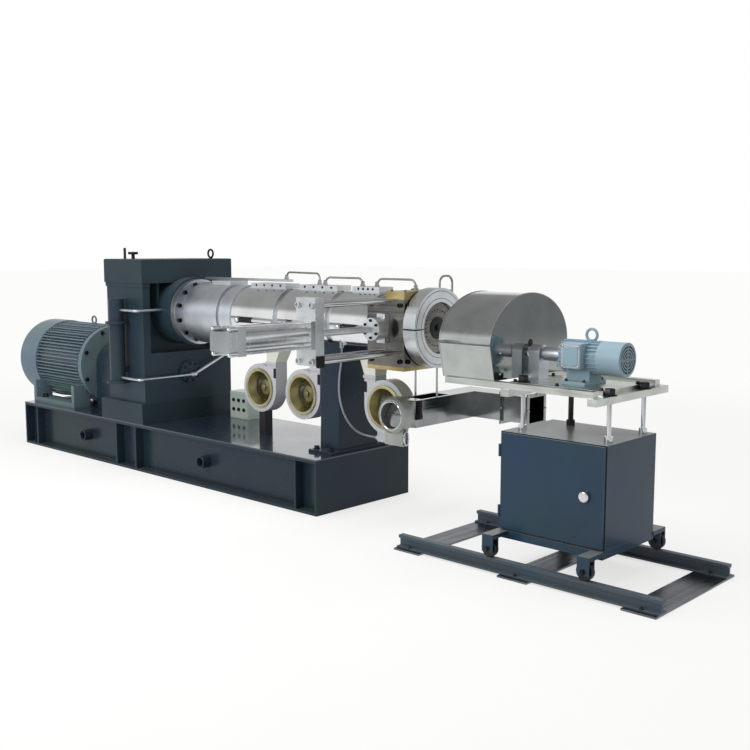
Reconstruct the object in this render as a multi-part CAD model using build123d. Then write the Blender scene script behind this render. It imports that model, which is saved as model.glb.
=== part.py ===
"""Plastic extruder with hydraulic screen changer, air-cooled barrel and a die-face cutter cart on rails.

Millimetres, +Z up. The origin is on the floor, under the barrel axis, at the middle of the base's
length. +X runs from the drive motor to the die, and +Y to the back.
"""
import math
import os

from build123d import *

# Base frame
BASE_LENGTH = 3310
BASE_WIDTH = 800
BEAM_HEIGHT = 320
BEAM_FLANGE_WIDTH = 140
BEAM_FLANGE_THICK = 16
BEAM_WEB_THICK = 12
END_PLATE_THICK = 14
CROSS_PLATE_THICK = 12
CROSS_FOOT_WIDTH = 120
CROSS_COUNT = 5
DECK_THICK = 8
STIFFENER_THICK = 14
STIFFENER_END_INSET = 180
STIFFENER_DRIVE_INSET = 170
STIFFENER_BARREL_INSET = 95
SLEEVE_DRIVE_INSET = 832
SLEEVE_BARREL_INSET = 1079
SLEEVE_RADIUS = 40
SLEEVE_WALL = 8

# Drive motor
MOTOR_SHAFT_HEIGHT = 315
MOTOR_CORE_RADIUS = 268
MOTOR_FIN_RADIUS = 300
MOTOR_FIN_COUNT = 36
MOTOR_FIN_THICK = 9
MOTOR_COWL_RADIUS = 305
MOTOR_COWL_LENGTH = 255
MOTOR_FRAME_LENGTH = 600
MOTOR_SHIELD_LENGTH = 45
MOTOR_BASE_INSET = 660
MOTOR_FOOT_WIDTH = 660
MOTOR_FOOT_LENGTH = 590
MOTOR_FOOT_THICK = 34
MOTOR_FOOT_REACH = 140
MOTOR_FOOT_RISE = 168
MOTOR_EYE_INSET = 222
MOTOR_GRILLE_DEPTH = 24
MOTOR_GRILLE_SLOT = 20
MOTOR_GRILLE_PITCH = 42
MOTOR_BOSS_RADIUS = 125
MOTOR_BOSS_LENGTH = 40
COUPLING_RADIUS = 185

# Gearbox
GEARBOX_LEFT = -480
GEARBOX_RIGHT = -50
GEARBOX_HALF_WIDTH = 372
GEARBOX_RISE = 362
PLINTH_OVERHANG = 70
PLINTH_HEIGHT = 143
LID_HEIGHT = 163
LID_OVERHANG = 12
RECESS_DEPTH = 110
RECESS_COLUMN = 57
RECESS_LEDGE_DROP = 45
RECESS_RIB_THICK = 18
RECESS_RIB_DEPTH = 80
RECESS_RIB_PLACES = (-225, 215)
FLANGE_LINE_HEIGHT = 26
INPUT_CAP_RADIUS = 78
INPUT_CAP_THICK = 28
LID_EYE_INSET = 46
LID_EYE_SIDE_INSET = 128
EYEBOLT_RADIUS = 28
EYEBOLT_WIRE = 7
BREATHER_PLACE = (180, 102)
BREATHER_STEM_RADIUS = 12
BREATHER_STEM_HEIGHT = 30
BREATHER_CAP_RADIUS = 34
BREATHER_CAP_HEIGHT = 18
DIPSTICK_PLACE = (140, 62)
DIPSTICK_RADIUS = 9
DIPSTICK_HEIGHT = 75
LANTERN_RADIUS = 235
LANTERN_REACH = 100
LANTERN_GAP = 0.5

# Oil cooler at the gearbox's front left corner
COOLER_RADIUS = 52
COOLER_INSET = 212
COOLER_GAP = 16
COOLER_BOTTOM_RISE = 133
COOLER_TOP_DROP = 106
COOLER_FLANGE_RADIUS = 76
COOLER_FLANGE_THICK = 16
COOLER_FLANGE_DROP = 170
COOLER_BRACKET_WIDTH = 40
COOLER_BRACKET_INSET = 90
OIL_PIPE_RADIUS = 10
OIL_PIPE_STANDOFF = 48
UPPER_PIPE_STANDOFF = 20
UPPER_PIPE_RISE = 18
LOWER_PIPE_RISE = 41
PIPE_BEND = 30
TEE_RADIUS = 18
TEE_LENGTH = 40
RETURN_PIPE_Y = 286
RETURN_PIPE_DROP = 86

# Barrel
BARREL_HEIGHT = 1090
BARREL_FLANGE_RADIUS = 223
BARREL_FLANGE_THICK = 54
BARREL_NECK_RADIUS = 163
BARREL_NECK_LENGTH = 69
FEED_BODY_RADIUS = 207
FEED_BODY_LENGTH = 349
GROOVE_WIDTH = 14
GROOVE_RADIUS = 188
COLLAR_RADIUS = 197
COLLAR_LENGTH = 113
BARREL_CORE_RADIUS = 172
COVER_RADIUS = 190
COVER_LENGTH = 409
LAST_COVER_LENGTH = 294
COVER_GAP = 44
COVER_COUNT = 3
CHANGER_STANDOFF = 22
LATCH_RADIUS = 15
LATCH_INSET = 80
LATCH_DROP = 14
FEED_PORT_INSET = 8
FEED_PORT_LENGTH = 190
FEED_PORT_WIDTH = 150
FEED_PORT_WALL = 22
FEED_PORT_RISE = 221
FEED_PORT_SEAT = 130
TROUGH_LENGTH = 865
TROUGH_OVERLAP = 10
TROUGH_WIDTH = 40
TROUGH_HEIGHT = 16
TROUGH_RISE = 236
TROUGH_GAP = 12
TROUGH_POST_RADIUS = 7
TROUGH_POST_PLACES = (160, 330)
TERMINAL_WIDTH = 120
TERMINAL_RISE = 24
TERMINAL_START_INSET = 60
TERMINAL_END_INSET = 20
CHANGER_TERMINAL_LENGTH = 110
CHANGER_TERMINAL_HEIGHT = 36
CONDUIT_RADIUS = 6
CONDUIT_BEND = 40
CONDUIT_ARCH = 46
CONDUIT_INSET = 90
DIE_LOOP_PLACES = (40, 150)
DIE_LOOP_RISE = 62

# Support column under the barrel's die end
COLUMN_X = 1530
COLUMN_FOOT_LENGTH = 190
COLUMN_FOOT_WIDTH = 500
COLUMN_FOOT_THICK = 16
COLUMN_BOTTOM_WIDTH = 340
COLUMN_TOP_WIDTH = 300
COLUMN_LENGTH = 150

# Cooling blowers under the barrel
BLOWER_PLACES = ((826, 24, 1), (1225, 19, 1), (1905, 13, -1))
BLOWER_FACE_Y = -100
BLOWER_DEPTH = 95
BLOWER_RADIUS = 155
BLOWER_MOUTH_RADIUS = 112
BLOWER_MOUTH_DEPTH = 60
INLET_LIP_WIDTH = 14
INLET_LIP_THICK = 9
INLET_THROAT_RADIUS = 88
INLET_DEPTH = 45
INLET_SHEET = 4
INLET_GAP = 0.5
OUTLET_WIDTH = 86
OUTLET_RISE = 18
BOOT_TOP_LENGTH = 165
BOOT_TOP_WIDTH = 120
BOOT_LAP = 76
BOOT_LEAN = 70
BLOWER_STAND_WIDTH = 60
BLOWER_BOX_LENGTH = 60
BLOWER_BOX_WIDTH = 55
BLOWER_BOX_DROP = 210
BLOWER_BOX_INSET = 40

# Power cable of the blower at the die, from a gland under the last cover to the blower's own box
CABLE_RADIUS = 6
CABLE_GLAND_RADIUS = 12
CABLE_GLAND_LENGTH = 30
CABLE_BEND_SHARE = 0.45
CABLE_START_DROP = 140
CABLE_END_DROP = 195
CABLE_FALL = 518
CABLE_START = (1622, -155)
CABLE_POINTS = ((1622, -155, 453), (1626, -180, 358), (1639, -198, 258), (1658, -192, 164),
                (1680, -155, 76), (1700, -95, 18), (1748, -52, 0))

# Junction box behind the blowers
JUNCTION_X = 215
JUNCTION_LENGTH = 200
JUNCTION_DEPTH = 110
JUNCTION_HEIGHT = 190
JUNCTION_Y = 230

# Screen changer
CHANGER_LENGTH = 272
CHANGER_HALF_WIDTH = 200
CHANGER_DROP = 210
CHANGER_RISE = 157
HEATER_STRIP_THICK = 22
TOP_HEATER_THICK = 46
SLIDE_THICK = 60
SLIDE_HEIGHT = 160
SLIDE_LENGTH = 640
SLIDE_FRONT_REACH = 40
SLIDE_CLEARANCE = 1.0
YOKE_FACE_Y = -800
YOKE_THICK = 60
YOKE_WIDTH = 142
YOKE_RISE = 187
YOKE_DROP = 160
TIE_BAR_RADIUS = 17
TIE_BAR_SPREAD = 100
TIE_BAR_RISE = 150
TIE_BAR_DROP = 137
CYLINDER_LENGTH = 500
CYLINDER_CAP_SIDE = 142
CYLINDER_CAP_THICK = 50
CYLINDER_HEAD_THICK = 30
CYLINDER_PORT_LENGTH = 53
CYLINDER_PORT_HEIGHT = 94
CYLINDER_TUBE_RADIUS = 64
CYLINDER_BORE_RADIUS = 52
CYLINDER_ROD_RADIUS = 18
CYLINDER_TIE_RADIUS = 7
CYLINDER_NUT_RADIUS = 12
CYLINDER_NUT_LENGTH = 44
PISTON_LENGTH = 50
PISTON_GAP = 20
ROD_CLEARANCE = 0.08
ROD_COUPLING_RADIUS = 62
ROD_COUPLING_LENGTH = 80

# Die
CLAMP_GAP = 7
CLAMP_RADIUS = 220
CLAMP_LENGTH = 84
CLAMP_INNER_RADIUS = 142
CLAMP_SPLIT = 8
DIE_GAP = 4
DIE_LENGTH = 60
DIE_COLLAR_LAP = 20

# Pellet duct under the die
DUCT_SIDE = 150
DUCT_WALL = 4
DUCT_OFFSET = 2
DUCT_DROP = 385
DUCT_FRONT = -190
DUCT_BACK = 480
DUCT_REACH = 455
DUCT_MOUTH_LENGTH = 240
DUCT_MOUTH_WIDTH = 110
DUCT_FLANGE_LIP = 18
DUCT_FLANGE_THICK = 6
DUCT_JOINT = 265
INLET_COLLAR_RADIUS = 100
INLET_COLLAR_LENGTH = 70
INLET_BORE_RADIUS = 71
INLET_NECK_LENGTH = 50
INLET_NECK_RADIUS = 84
INLET_LIP_BEVEL = 12
DAMPER_BOX_LENGTH = 130
DAMPER_BOX_WIDTH = 44
DAMPER_BOX_HEIGHT = 66
HANGER_RADIUS = 6
HANGER_INSET = 10
HANGER_PLACES = ((-1, -30), (1, 0))

# Rails and their flat ties
RAIL_START = 2405
RAIL_END = 3861
RAIL_CENTRE_Y = -190
RAIL_GAUGE = 654
RAIL_HEIGHT = 62
RAIL_HEAD_WIDTH = 34
RAIL_FOOT_WIDTH = 66
RAIL_WEB_THICK = 10
RAIL_HEAD_THICK = 16
RAIL_FOOT_THICK = 8
TIE_THICK = 9
TIE_WIDTH = 165
TIE_OVERHANG = 22
TIE_COUNT = 3

# Cutter cart
CABINET_LEFT = 2943
CABINET_LENGTH = 574
CABINET_DEPTH = 464
CABINET_BOTTOM = 182
CABINET_SHEET = 3
DOOR_GAP = 4
DOOR_THICK = 18
DOOR_HINGE_RADIUS = 7
DOOR_HINGE_HEIGHT = 60
DOOR_HINGE_INSET = 60
HINGE_PIN_RADIUS = 3
HINGE_CLEARANCE = 0.06
HINGE_GAP = 1
KNOB_RADIUS = 26
KNOB_LENGTH = 22
KNOB_INSET = 95
UNDERFRAME_HEIGHT = 38
UNDERFRAME_WIDTH = 50
ARM_WIDTH = 62
ARM_THICK = 20
WHEEL_RADIUS = 42
WHEEL_WIDTH = 26
WHEEL_BEVEL = 2.6
WHEEL_INSET = 27
FORK_PLATE = 6
FORK_WIDTH = 62
FORK_DROP = 15
AXLE_RADIUS = 8
AXLE_CLEARANCE = 0.06
FORK_GAP = 5
POST_RADIUS = 11
POST_RISE = 177
POST_COLLAR_RADIUS = 20
POST_COLLAR_HEIGHT = 26
POST_LEFT_INSET = 61
POST_RIGHT_INSET = 47
POST_FRONT_Y = -315
POST_BACK_Y = 0
JACK_INSET = 156
JACK_Y = -40
JACK_RADIUS = 13
JACK_COLLAR_RADIUS = 21
CROSS_BAR_DROP = 254
CROSS_BAR_HEIGHT = 34
CROSS_BAR_WIDTH = 46
CROSS_BAR_FRONT_LAP = 8
CROSS_BAR_BACK_LAP = 45
LONG_BAR_HEIGHT = 30
LONG_BAR_WIDTH = 45
LONG_BAR_LIP = 10
LONG_BAR_INSET = 20
CUTTER_Y = -155
PLATE_GAP = 9
PLATE_LENGTH = 510
PLATE_WIDTH = 370
PLATE_THICK = 20
CUTTER_AXIS_DROP = 73
CUTTER_MOTOR_RADIUS = 80
CUTTER_CORE_RADIUS = 70
CUTTER_MOTOR_GAP = 205
CUTTER_MOTOR_LENGTH = 204
CUTTER_COWL_LENGTH = 124
CUTTER_FIN_COUNT = 24
CUTTER_FIN_THICK = 4
CUTTER_FOOT_WIDTH = 190
CUTTER_FOOT_THICK = 16
CUTTER_FOOT_INSET = 40
CUTTER_WEB_WIDTH = 110
CUTTER_BOX_INSET = 38
CUTTER_BOX_LENGTH = 106
CUTTER_BOX_REACH = 105
CUTTER_BOX_DROP = 50
CUTTER_BOX_RISE = 68
CUTTER_EYE_INSET = 139
HOOD_LEFT = 2620
HOOD_LENGTH = 311
HOOD_HALF_WIDTH = 331
HOOD_CROWN = 242
HOOD_WAIST_DROP = 24
HOOD_FOOT_HALF_WIDTH = 295
HOOD_SHEET = 3
HOOD_HOLE_GAP = 6
ROTOR_SHAFT_RADIUS = 20
ROTOR_CLEARANCE = 0.08
ROTOR_TIP_INSET = 46
KNIFE_HUB_RADIUS = 52
KNIFE_HUB_SETBACK = 12
KNIFE_HEAD_LENGTH = 40
KNIFE_WIDTH = 14
KNIFE_DEPTH = 24
KNIFE_LENGTH = 63
KNIFE_CENTRE_RADIUS = 73
KNIFE_COUNT = 4
ROTOR_BEARING_GAP = 20
ROTOR_BEARING_LENGTH = 60
ROTOR_BEARING_RADIUS = 42
ROTOR_COUPLING_RADIUS = 34
ROTOR_COUPLING_GAP = 12
ROTOR_END_GAP = 4

# Heights and places that follow from the sizes above
BASE_LEFT = -BASE_LENGTH / 2
BASE_RIGHT = BASE_LENGTH / 2
DECK_TOP = BEAM_HEIGHT + DECK_THICK
MOTOR_AXIS = DECK_TOP + MOTOR_SHAFT_HEIGHT
MOTOR_DRIVE_FACE = BASE_LEFT + MOTOR_BASE_INSET
MOTOR_FRAME_RIGHT = MOTOR_DRIVE_FACE - MOTOR_SHIELD_LENGTH
MOTOR_FRAME_LEFT = MOTOR_FRAME_RIGHT - MOTOR_FRAME_LENGTH
PLINTH_LEFT = GEARBOX_LEFT - PLINTH_OVERHANG
PLINTH_TOP = DECK_TOP + PLINTH_HEIGHT
GEARBOX_TOP = BARREL_HEIGHT + GEARBOX_RISE
LID_BOTTOM = GEARBOX_TOP - LID_HEIGHT
LANTERN_START = GEARBOX_RIGHT - RECESS_DEPTH
LANTERN_END = GEARBOX_RIGHT + LANTERN_REACH
LANTERN_BOTTOM = BARREL_HEIGHT - LANTERN_RADIUS
INPUT_CAP_AXIS = (PLINTH_TOP + LANTERN_BOTTOM) / 2
COOLER_X = GEARBOX_LEFT + COOLER_INSET
COOLER_Y = -GEARBOX_HALF_WIDTH - COOLER_GAP - COOLER_RADIUS
COOLER_BOTTOM = PLINTH_TOP + COOLER_BOTTOM_RISE
COOLER_TOP = LID_BOTTOM - COOLER_TOP_DROP
BARREL_FLANGE_END = LANTERN_END + BARREL_FLANGE_THICK
BARREL_NECK_END = BARREL_FLANGE_END + BARREL_NECK_LENGTH
FEED_BODY_END = BARREL_NECK_END + FEED_BODY_LENGTH
GROOVE_END = FEED_BODY_END + GROOVE_WIDTH
COLLAR_END = GROOVE_END + COLLAR_LENGTH
COVER_TOP = BARREL_HEIGHT + COVER_RADIUS
COVER_BOTTOM = BARREL_HEIGHT - COVER_RADIUS
FEED_PORT_END = FEED_BODY_END - FEED_PORT_INSET
FEED_PORT_START = FEED_PORT_END - FEED_PORT_LENGTH
FEED_PORT_TOP = BARREL_HEIGHT + FEED_PORT_RISE
TROUGH_START = LANTERN_END - TROUGH_OVERLAP
TROUGH_Y = FEED_PORT_WIDTH / 2 + TROUGH_GAP + TROUGH_WIDTH / 2
TROUGH_TOP = BARREL_HEIGHT + TROUGH_RISE
BLOWER_MIDDLE = (DECK_TOP + COVER_BOTTOM) / 2
BLOWER_BACK_Y = BLOWER_FACE_Y + BLOWER_DEPTH
BLOWER_Y = (BLOWER_FACE_Y + BLOWER_BACK_Y) / 2
LAST_COVER_START = COLLAR_END + (COVER_COUNT - 1) * (COVER_LENGTH + COVER_GAP)
CHANGER_LEFT = LAST_COVER_START + LAST_COVER_LENGTH + CHANGER_STANDOFF
CHANGER_RIGHT = CHANGER_LEFT + CHANGER_LENGTH
CHANGER_X = (CHANGER_LEFT + CHANGER_RIGHT) / 2
CHANGER_BOTTOM = BARREL_HEIGHT - CHANGER_DROP
CHANGER_TOP = BARREL_HEIGHT + CHANGER_RISE
YOKE_BACK_Y = YOKE_FACE_Y + YOKE_THICK
CYLINDER_REAR_Y = YOKE_FACE_Y - CYLINDER_LENGTH
CLAMP_LEFT = CHANGER_RIGHT + CLAMP_GAP
CLAMP_RIGHT = CLAMP_LEFT + CLAMP_LENGTH
DUCT_X = CHANGER_RIGHT + DUCT_OFFSET
DUCT_TOP = BARREL_HEIGHT - DUCT_DROP
DUCT_BOTTOM = DUCT_TOP - DUCT_SIDE
DUCT_AXIS = (DUCT_TOP + DUCT_BOTTOM) / 2
DUCT_END_X = DUCT_X + DUCT_REACH
RAIL_TOP = TIE_THICK + RAIL_HEIGHT
CABINET_RIGHT = CABINET_LEFT + CABINET_LENGTH
CABINET_FRONT = RAIL_CENTRE_Y - CABINET_DEPTH / 2
CABINET_BACK = RAIL_CENTRE_Y + CABINET_DEPTH / 2
HINGE_X = CABINET_LEFT + DOOR_HINGE_RADIUS
HINGE_Y = CABINET_FRONT
WHEEL_HEIGHT = RAIL_TOP + WHEEL_RADIUS
WHEEL_X = (CABINET_LEFT + WHEEL_INSET, CABINET_RIGHT - WHEEL_INSET)
WHEEL_Y = (RAIL_CENTRE_Y - RAIL_GAUGE / 2, RAIL_CENTRE_Y + RAIL_GAUGE / 2)
CROSS_BAR_BOTTOM = BARREL_HEIGHT - CROSS_BAR_DROP
CABINET_TOP = CROSS_BAR_BOTTOM - POST_RISE
POST_X = (CABINET_LEFT + POST_LEFT_INSET, CABINET_RIGHT - POST_RIGHT_INSET)
JACK_X = CABINET_LEFT + JACK_INSET
PLATE_BOTTOM = CROSS_BAR_BOTTOM + CROSS_BAR_HEIGHT
PLATE_TOP = PLATE_BOTTOM + PLATE_THICK
HOOD_FOOT = PLATE_BOTTOM + LONG_BAR_HEIGHT
HOOD_RIGHT = HOOD_LEFT + HOOD_LENGTH
HOOD_WAIST = BARREL_HEIGHT - HOOD_WAIST_DROP
PLATE_LEFT = HOOD_RIGHT + PLATE_GAP
CUTTER_AXIS = BARREL_HEIGHT - CUTTER_AXIS_DROP
CUTTER_MOTOR_START = HOOD_RIGHT + CUTTER_MOTOR_GAP


def block(x, y, z):
    """Box from three (low, high) pairs."""
    size = [high - low for low, high in (x, y, z)]
    middle = [(low + high) / 2 for low, high in (x, y, z)]
    return Pos(*middle) * Box(*size)


def rod_x(x, y, z, radius):
    """Round bar along X between the two values of x."""
    return Pos((x[0] + x[1]) / 2, y, z) * Rot(0, 90, 0) * Cylinder(radius, x[1] - x[0])


def rod_y(x, y, z, radius):
    """Round bar along Y between the two values of y."""
    return Pos(x, (y[0] + y[1]) / 2, z) * Rot(90, 0, 0) * Cylinder(radius, y[1] - y[0])


def rod_z(x, y, z, radius):
    """Round bar along Z between the two values of z."""
    return Pos(x, y, (z[0] + z[1]) / 2) * Cylinder(radius, z[1] - z[0])


def turned(profile, y, z):
    """Solid of revolution about a line along X through (y, z), from (x, radius) corners."""
    outline = Plane.XZ * make_face(Polyline(*profile, close=True))
    return Pos(0, y, z) * revolve(outline, Axis.X)


def turned_y(profile, x, z):
    """Solid of revolution about a line along Y through (x, z), from (y, radius) corners."""
    outline = Plane.XZ * make_face(Polyline(*profile, close=True))
    return Pos(x, 0, z) * Rot(0, 0, 90) * revolve(outline, Axis.X)


def group(pieces):
    """Several separate solids in one node."""
    return Compound(children=list(pieces))


def bent_pipe(points, bend, radius):
    """Round pipe along straight runs joined by arcs of one bend radius."""
    path = FilletPolyline(*points, radius=bend)
    start = Plane(origin=path @ 0, z_dir=path % 0)
    return sweep(start * Circle(radius), path=path)


def eyebolt(x, y, z):
    """Lifting eye standing on z, its ring in the XZ plane."""
    ring = Rot(90, 0, 0) * Torus(EYEBOLT_RADIUS, EYEBOLT_WIRE)
    shank = rod_z(x, y, (z, z + EYEBOLT_WIRE * 2), EYEBOLT_WIRE * 1.6)
    return Pos(x, y, z + EYEBOLT_RADIUS + EYEBOLT_WIRE) * ring + shank


def side_beam(side):
    """Rolled I-beam of the base with stiffeners and lifting sleeves; side is -1 front, +1 back."""
    outer = side * BASE_WIDTH / 2
    inner = side * (BASE_WIDTH / 2 - BEAM_FLANGE_WIDTH)
    y = (min(outer, inner), max(outer, inner))
    middle = (outer + inner) / 2
    x = (BASE_LEFT + END_PLATE_THICK, BASE_RIGHT - END_PLATE_THICK)
    web_z = (BEAM_FLANGE_THICK, BEAM_HEIGHT - BEAM_FLANGE_THICK)
    beam = block(x, y, (0, BEAM_FLANGE_THICK))
    beam += block(x, y, (BEAM_HEIGHT - BEAM_FLANGE_THICK, BEAM_HEIGHT))
    beam += block(x, (middle - BEAM_WEB_THICK / 2, middle + BEAM_WEB_THICK / 2), web_z)
    stiffeners = (BASE_LEFT + STIFFENER_END_INSET, PLINTH_LEFT + STIFFENER_DRIVE_INSET,
                  GEARBOX_RIGHT - STIFFENER_BARREL_INSET, BASE_RIGHT - STIFFENER_END_INSET)
    for place in stiffeners:
        beam += block((place - STIFFENER_THICK / 2, place + STIFFENER_THICK / 2), y, web_z)
    for place in (BASE_LEFT + SLEEVE_DRIVE_INSET, BASE_RIGHT - SLEEVE_BARREL_INSET):
        beam += rod_y(place, y, BEAM_HEIGHT / 2, SLEEVE_RADIUS)
        beam -= rod_y(place, (y[0] - 1, y[1] + 1), BEAM_HEIGHT / 2, SLEEVE_RADIUS - SLEEVE_WALL)
    return beam


def base_cross_members():
    """End plates, and inverted tees that tie the two side beams between them."""
    full = (-BASE_WIDTH / 2, BASE_WIDTH / 2)
    inside = BASE_WIDTH / 2 - BEAM_FLANGE_WIDTH
    pieces = []
    for low in (BASE_LEFT, BASE_RIGHT - END_PLATE_THICK):
        pieces.append(block((low, low + END_PLATE_THICK), full, (0, BEAM_HEIGHT)))
    pitch = BASE_LENGTH / (CROSS_COUNT + 1)
    for number in range(CROSS_COUNT):
        x = BASE_LEFT + pitch * (number + 1)
        foot = block((x - CROSS_FOOT_WIDTH / 2, x + CROSS_FOOT_WIDTH / 2), (-inside, inside),
                     (0, BEAM_FLANGE_THICK))
        web = block((x - CROSS_PLATE_THICK / 2, x + CROSS_PLATE_THICK / 2), (-inside, inside),
                    (BEAM_FLANGE_THICK, BEAM_HEIGHT))
        pieces.append(foot + web)
    return group(pieces)


def base_deck():
    """Plain deck plate on top of the beams."""
    return block((BASE_LEFT, BASE_RIGHT), (-BASE_WIDTH / 2, BASE_WIDTH / 2), (BEAM_HEIGHT, DECK_TOP))


def main_motor_frame():
    """Finned motor frame with cast feet and its lifting eye."""
    x = (MOTOR_FRAME_LEFT, MOTOR_FRAME_RIGHT)
    middle = (x[0] + x[1]) / 2
    frame = rod_x(x, 0, MOTOR_AXIS, MOTOR_CORE_RADIUS)
    height = MOTOR_FIN_RADIUS - MOTOR_CORE_RADIUS + MOTOR_FIN_THICK
    fin = Pos(0, 0, MOTOR_FIN_RADIUS - height / 2) * Box(MOTOR_FRAME_LENGTH, MOTOR_FIN_THICK, height)
    for number in range(MOTOR_FIN_COUNT):
        frame += Pos(middle, 0, MOTOR_AXIS) * Rot(360 * number / MOTOR_FIN_COUNT, 0, 0) * fin
    foot_x = (middle - MOTOR_FOOT_LENGTH / 2, middle + MOTOR_FOOT_LENGTH / 2)
    for side in (-1, 1):
        outer = side * MOTOR_FOOT_WIDTH / 2
        inner = side * (MOTOR_FOOT_WIDTH / 2 - MOTOR_FOOT_REACH)
        y = (min(outer, inner), max(outer, inner))
        frame += block(foot_x, y, (DECK_TOP, DECK_TOP + MOTOR_FOOT_THICK))
        for end in (foot_x[0], foot_x[1] - MOTOR_FOOT_THICK):
            frame += block((end, end + MOTOR_FOOT_THICK), y, (DECK_TOP, DECK_TOP + MOTOR_FOOT_RISE))
    seat = MOTOR_AXIS + MOTOR_FIN_RADIUS - MOTOR_FIN_THICK
    return frame + eyebolt(MOTOR_FRAME_RIGHT - MOTOR_EYE_INSET, 0, seat)


def main_motor_cowl():
    """Fan cowl with a ring-slotted grille in its end."""
    x = (MOTOR_FRAME_LEFT - MOTOR_COWL_LENGTH, MOTOR_FRAME_LEFT)
    cowl = rod_x(x, 0, MOTOR_AXIS, MOTOR_COWL_RADIUS)
    cowl = fillet(cowl.edges().filter_by(GeomType.CIRCLE).group_by(Axis.X)[0], MOTOR_GRILLE_DEPTH)
    slots = []
    radius = MOTOR_GRILLE_PITCH * 2
    mouth = (x[0] - 1, x[0] + MOTOR_GRILLE_DEPTH)
    while radius + MOTOR_GRILLE_PITCH < MOTOR_COWL_RADIUS - MOTOR_GRILLE_DEPTH:
        ring = rod_x(mouth, 0, MOTOR_AXIS, radius + MOTOR_GRILLE_SLOT)
        slots.append(ring - rod_x(mouth, 0, MOTOR_AXIS, radius))
        radius += MOTOR_GRILLE_PITCH
    spokes = []
    for turn in (45, 135):
        spoke = Box(MOTOR_GRILLE_DEPTH * 3, MOTOR_GRILLE_PITCH, MOTOR_COWL_RADIUS * 2)
        spokes.append(Pos(x[0], 0, MOTOR_AXIS) * Rot(turn, 0, 0) * spoke)
    for slot in slots:
        cowl -= slot - spokes
    return cowl


def main_motor_end_shield():
    """Drive-end shield with its bearing boss."""
    x = (MOTOR_FRAME_RIGHT, MOTOR_DRIVE_FACE)
    shield = rod_x(x, 0, MOTOR_AXIS, MOTOR_FIN_RADIUS - MOTOR_FIN_THICK)
    boss = (MOTOR_DRIVE_FACE, MOTOR_DRIVE_FACE + MOTOR_BOSS_LENGTH)
    return shield + rod_x(boss, 0, MOTOR_AXIS, MOTOR_BOSS_RADIUS)


def coupling_guard():
    """Arched guard over the shaft coupling, standing on the deck."""
    x = (MOTOR_DRIVE_FACE + MOTOR_BOSS_LENGTH, GEARBOX_LEFT)
    arch = rod_x(x, 0, MOTOR_AXIS, COUPLING_RADIUS)
    legs = block(x, (-COUPLING_RADIUS, COUPLING_RADIUS), (DECK_TOP, MOTOR_AXIS))
    return arch + legs - block((x[1] - (GEARBOX_LEFT - PLINTH_LEFT), x[1] + 1),
                               (-COUPLING_RADIUS - 1, COUPLING_RADIUS + 1), (DECK_TOP - 1, PLINTH_TOP))


def gearbox_plinth():
    """Welded plinth that lifts the gearbox to the barrel's height."""
    y = (-BASE_WIDTH / 2, BASE_WIDTH / 2)
    return block((PLINTH_LEFT, GEARBOX_RIGHT), y, (DECK_TOP, PLINTH_TOP))


def gearbox_housing():
    """Cast housing: flanged top edge, and a deep recess in the barrel face between two side columns."""
    x = (GEARBOX_LEFT, GEARBOX_RIGHT)
    y = (-GEARBOX_HALF_WIDTH, GEARBOX_HALF_WIDTH)
    housing = block(x, y, (PLINTH_TOP, LID_BOTTOM))
    lip = LID_OVERHANG / 2
    flange_z = (LID_BOTTOM - FLANGE_LINE_HEIGHT, LID_BOTTOM)
    housing += block((x[0] - lip, x[1] + lip), (y[0] - lip, y[1] + lip), flange_z)
    recess_x = (LANTERN_START, x[1] + LID_OVERHANG)
    recess_y = (y[0] + RECESS_COLUMN, y[1] - RECESS_COLUMN)
    ledge = LANTERN_BOTTOM - RECESS_LEDGE_DROP
    housing -= block(recess_x, recess_y, (ledge, LID_BOTTOM + 1))
    rib_x = (LANTERN_START, LANTERN_START + RECESS_RIB_DEPTH)
    bore = rod_x((LANTERN_START - 1, LANTERN_END), 0, BARREL_HEIGHT, LANTERN_RADIUS + LANTERN_GAP)
    for place in RECESS_RIB_PLACES:
        rib_y = (place - RECESS_RIB_THICK / 2, place + RECESS_RIB_THICK / 2)
        housing += block(rib_x, rib_y, (BARREL_HEIGHT, LID_BOTTOM)) - bore
    cap = (x[1] - INPUT_CAP_THICK, x[1] + INPUT_CAP_THICK)
    return housing + rod_x(cap, 0, INPUT_CAP_AXIS, INPUT_CAP_RADIUS)


def gearbox_lid():
    """Top cover that overhangs the housing all round, notched over the lantern."""
    x = (GEARBOX_LEFT - LID_OVERHANG, GEARBOX_RIGHT + LID_OVERHANG)
    y = (-GEARBOX_HALF_WIDTH - LID_OVERHANG, GEARBOX_HALF_WIDTH + LID_OVERHANG)
    lid = block(x, y, (LID_BOTTOM, GEARBOX_TOP))
    lid = chamfer(lid.edges().group_by(Axis.Z)[-1], LID_OVERHANG / 2)
    return lid - rod_x((LANTERN_START, LANTERN_END), 0, BARREL_HEIGHT, LANTERN_RADIUS + LANTERN_GAP)


def gearbox_fittings():
    """Lifting eye, breather and dipstick on the lid."""
    top = GEARBOX_TOP
    pieces = [eyebolt(GEARBOX_RIGHT - LID_EYE_INSET, GEARBOX_HALF_WIDTH - LID_EYE_SIDE_INSET, top)]
    x, y = GEARBOX_LEFT + BREATHER_PLACE[0], BREATHER_PLACE[1] - GEARBOX_HALF_WIDTH
    neck = top + BREATHER_STEM_HEIGHT
    breather = rod_z(x, y, (top, neck), BREATHER_STEM_RADIUS)
    pieces.append(breather + rod_z(x, y, (neck, neck + BREATHER_CAP_HEIGHT), BREATHER_CAP_RADIUS))
    x, y = GEARBOX_LEFT + DIPSTICK_PLACE[0], DIPSTICK_PLACE[1] - GEARBOX_HALF_WIDTH
    pieces.append(rod_z(x, y, (top, top + DIPSTICK_HEIGHT), DIPSTICK_RADIUS))
    return group(pieces)


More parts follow.
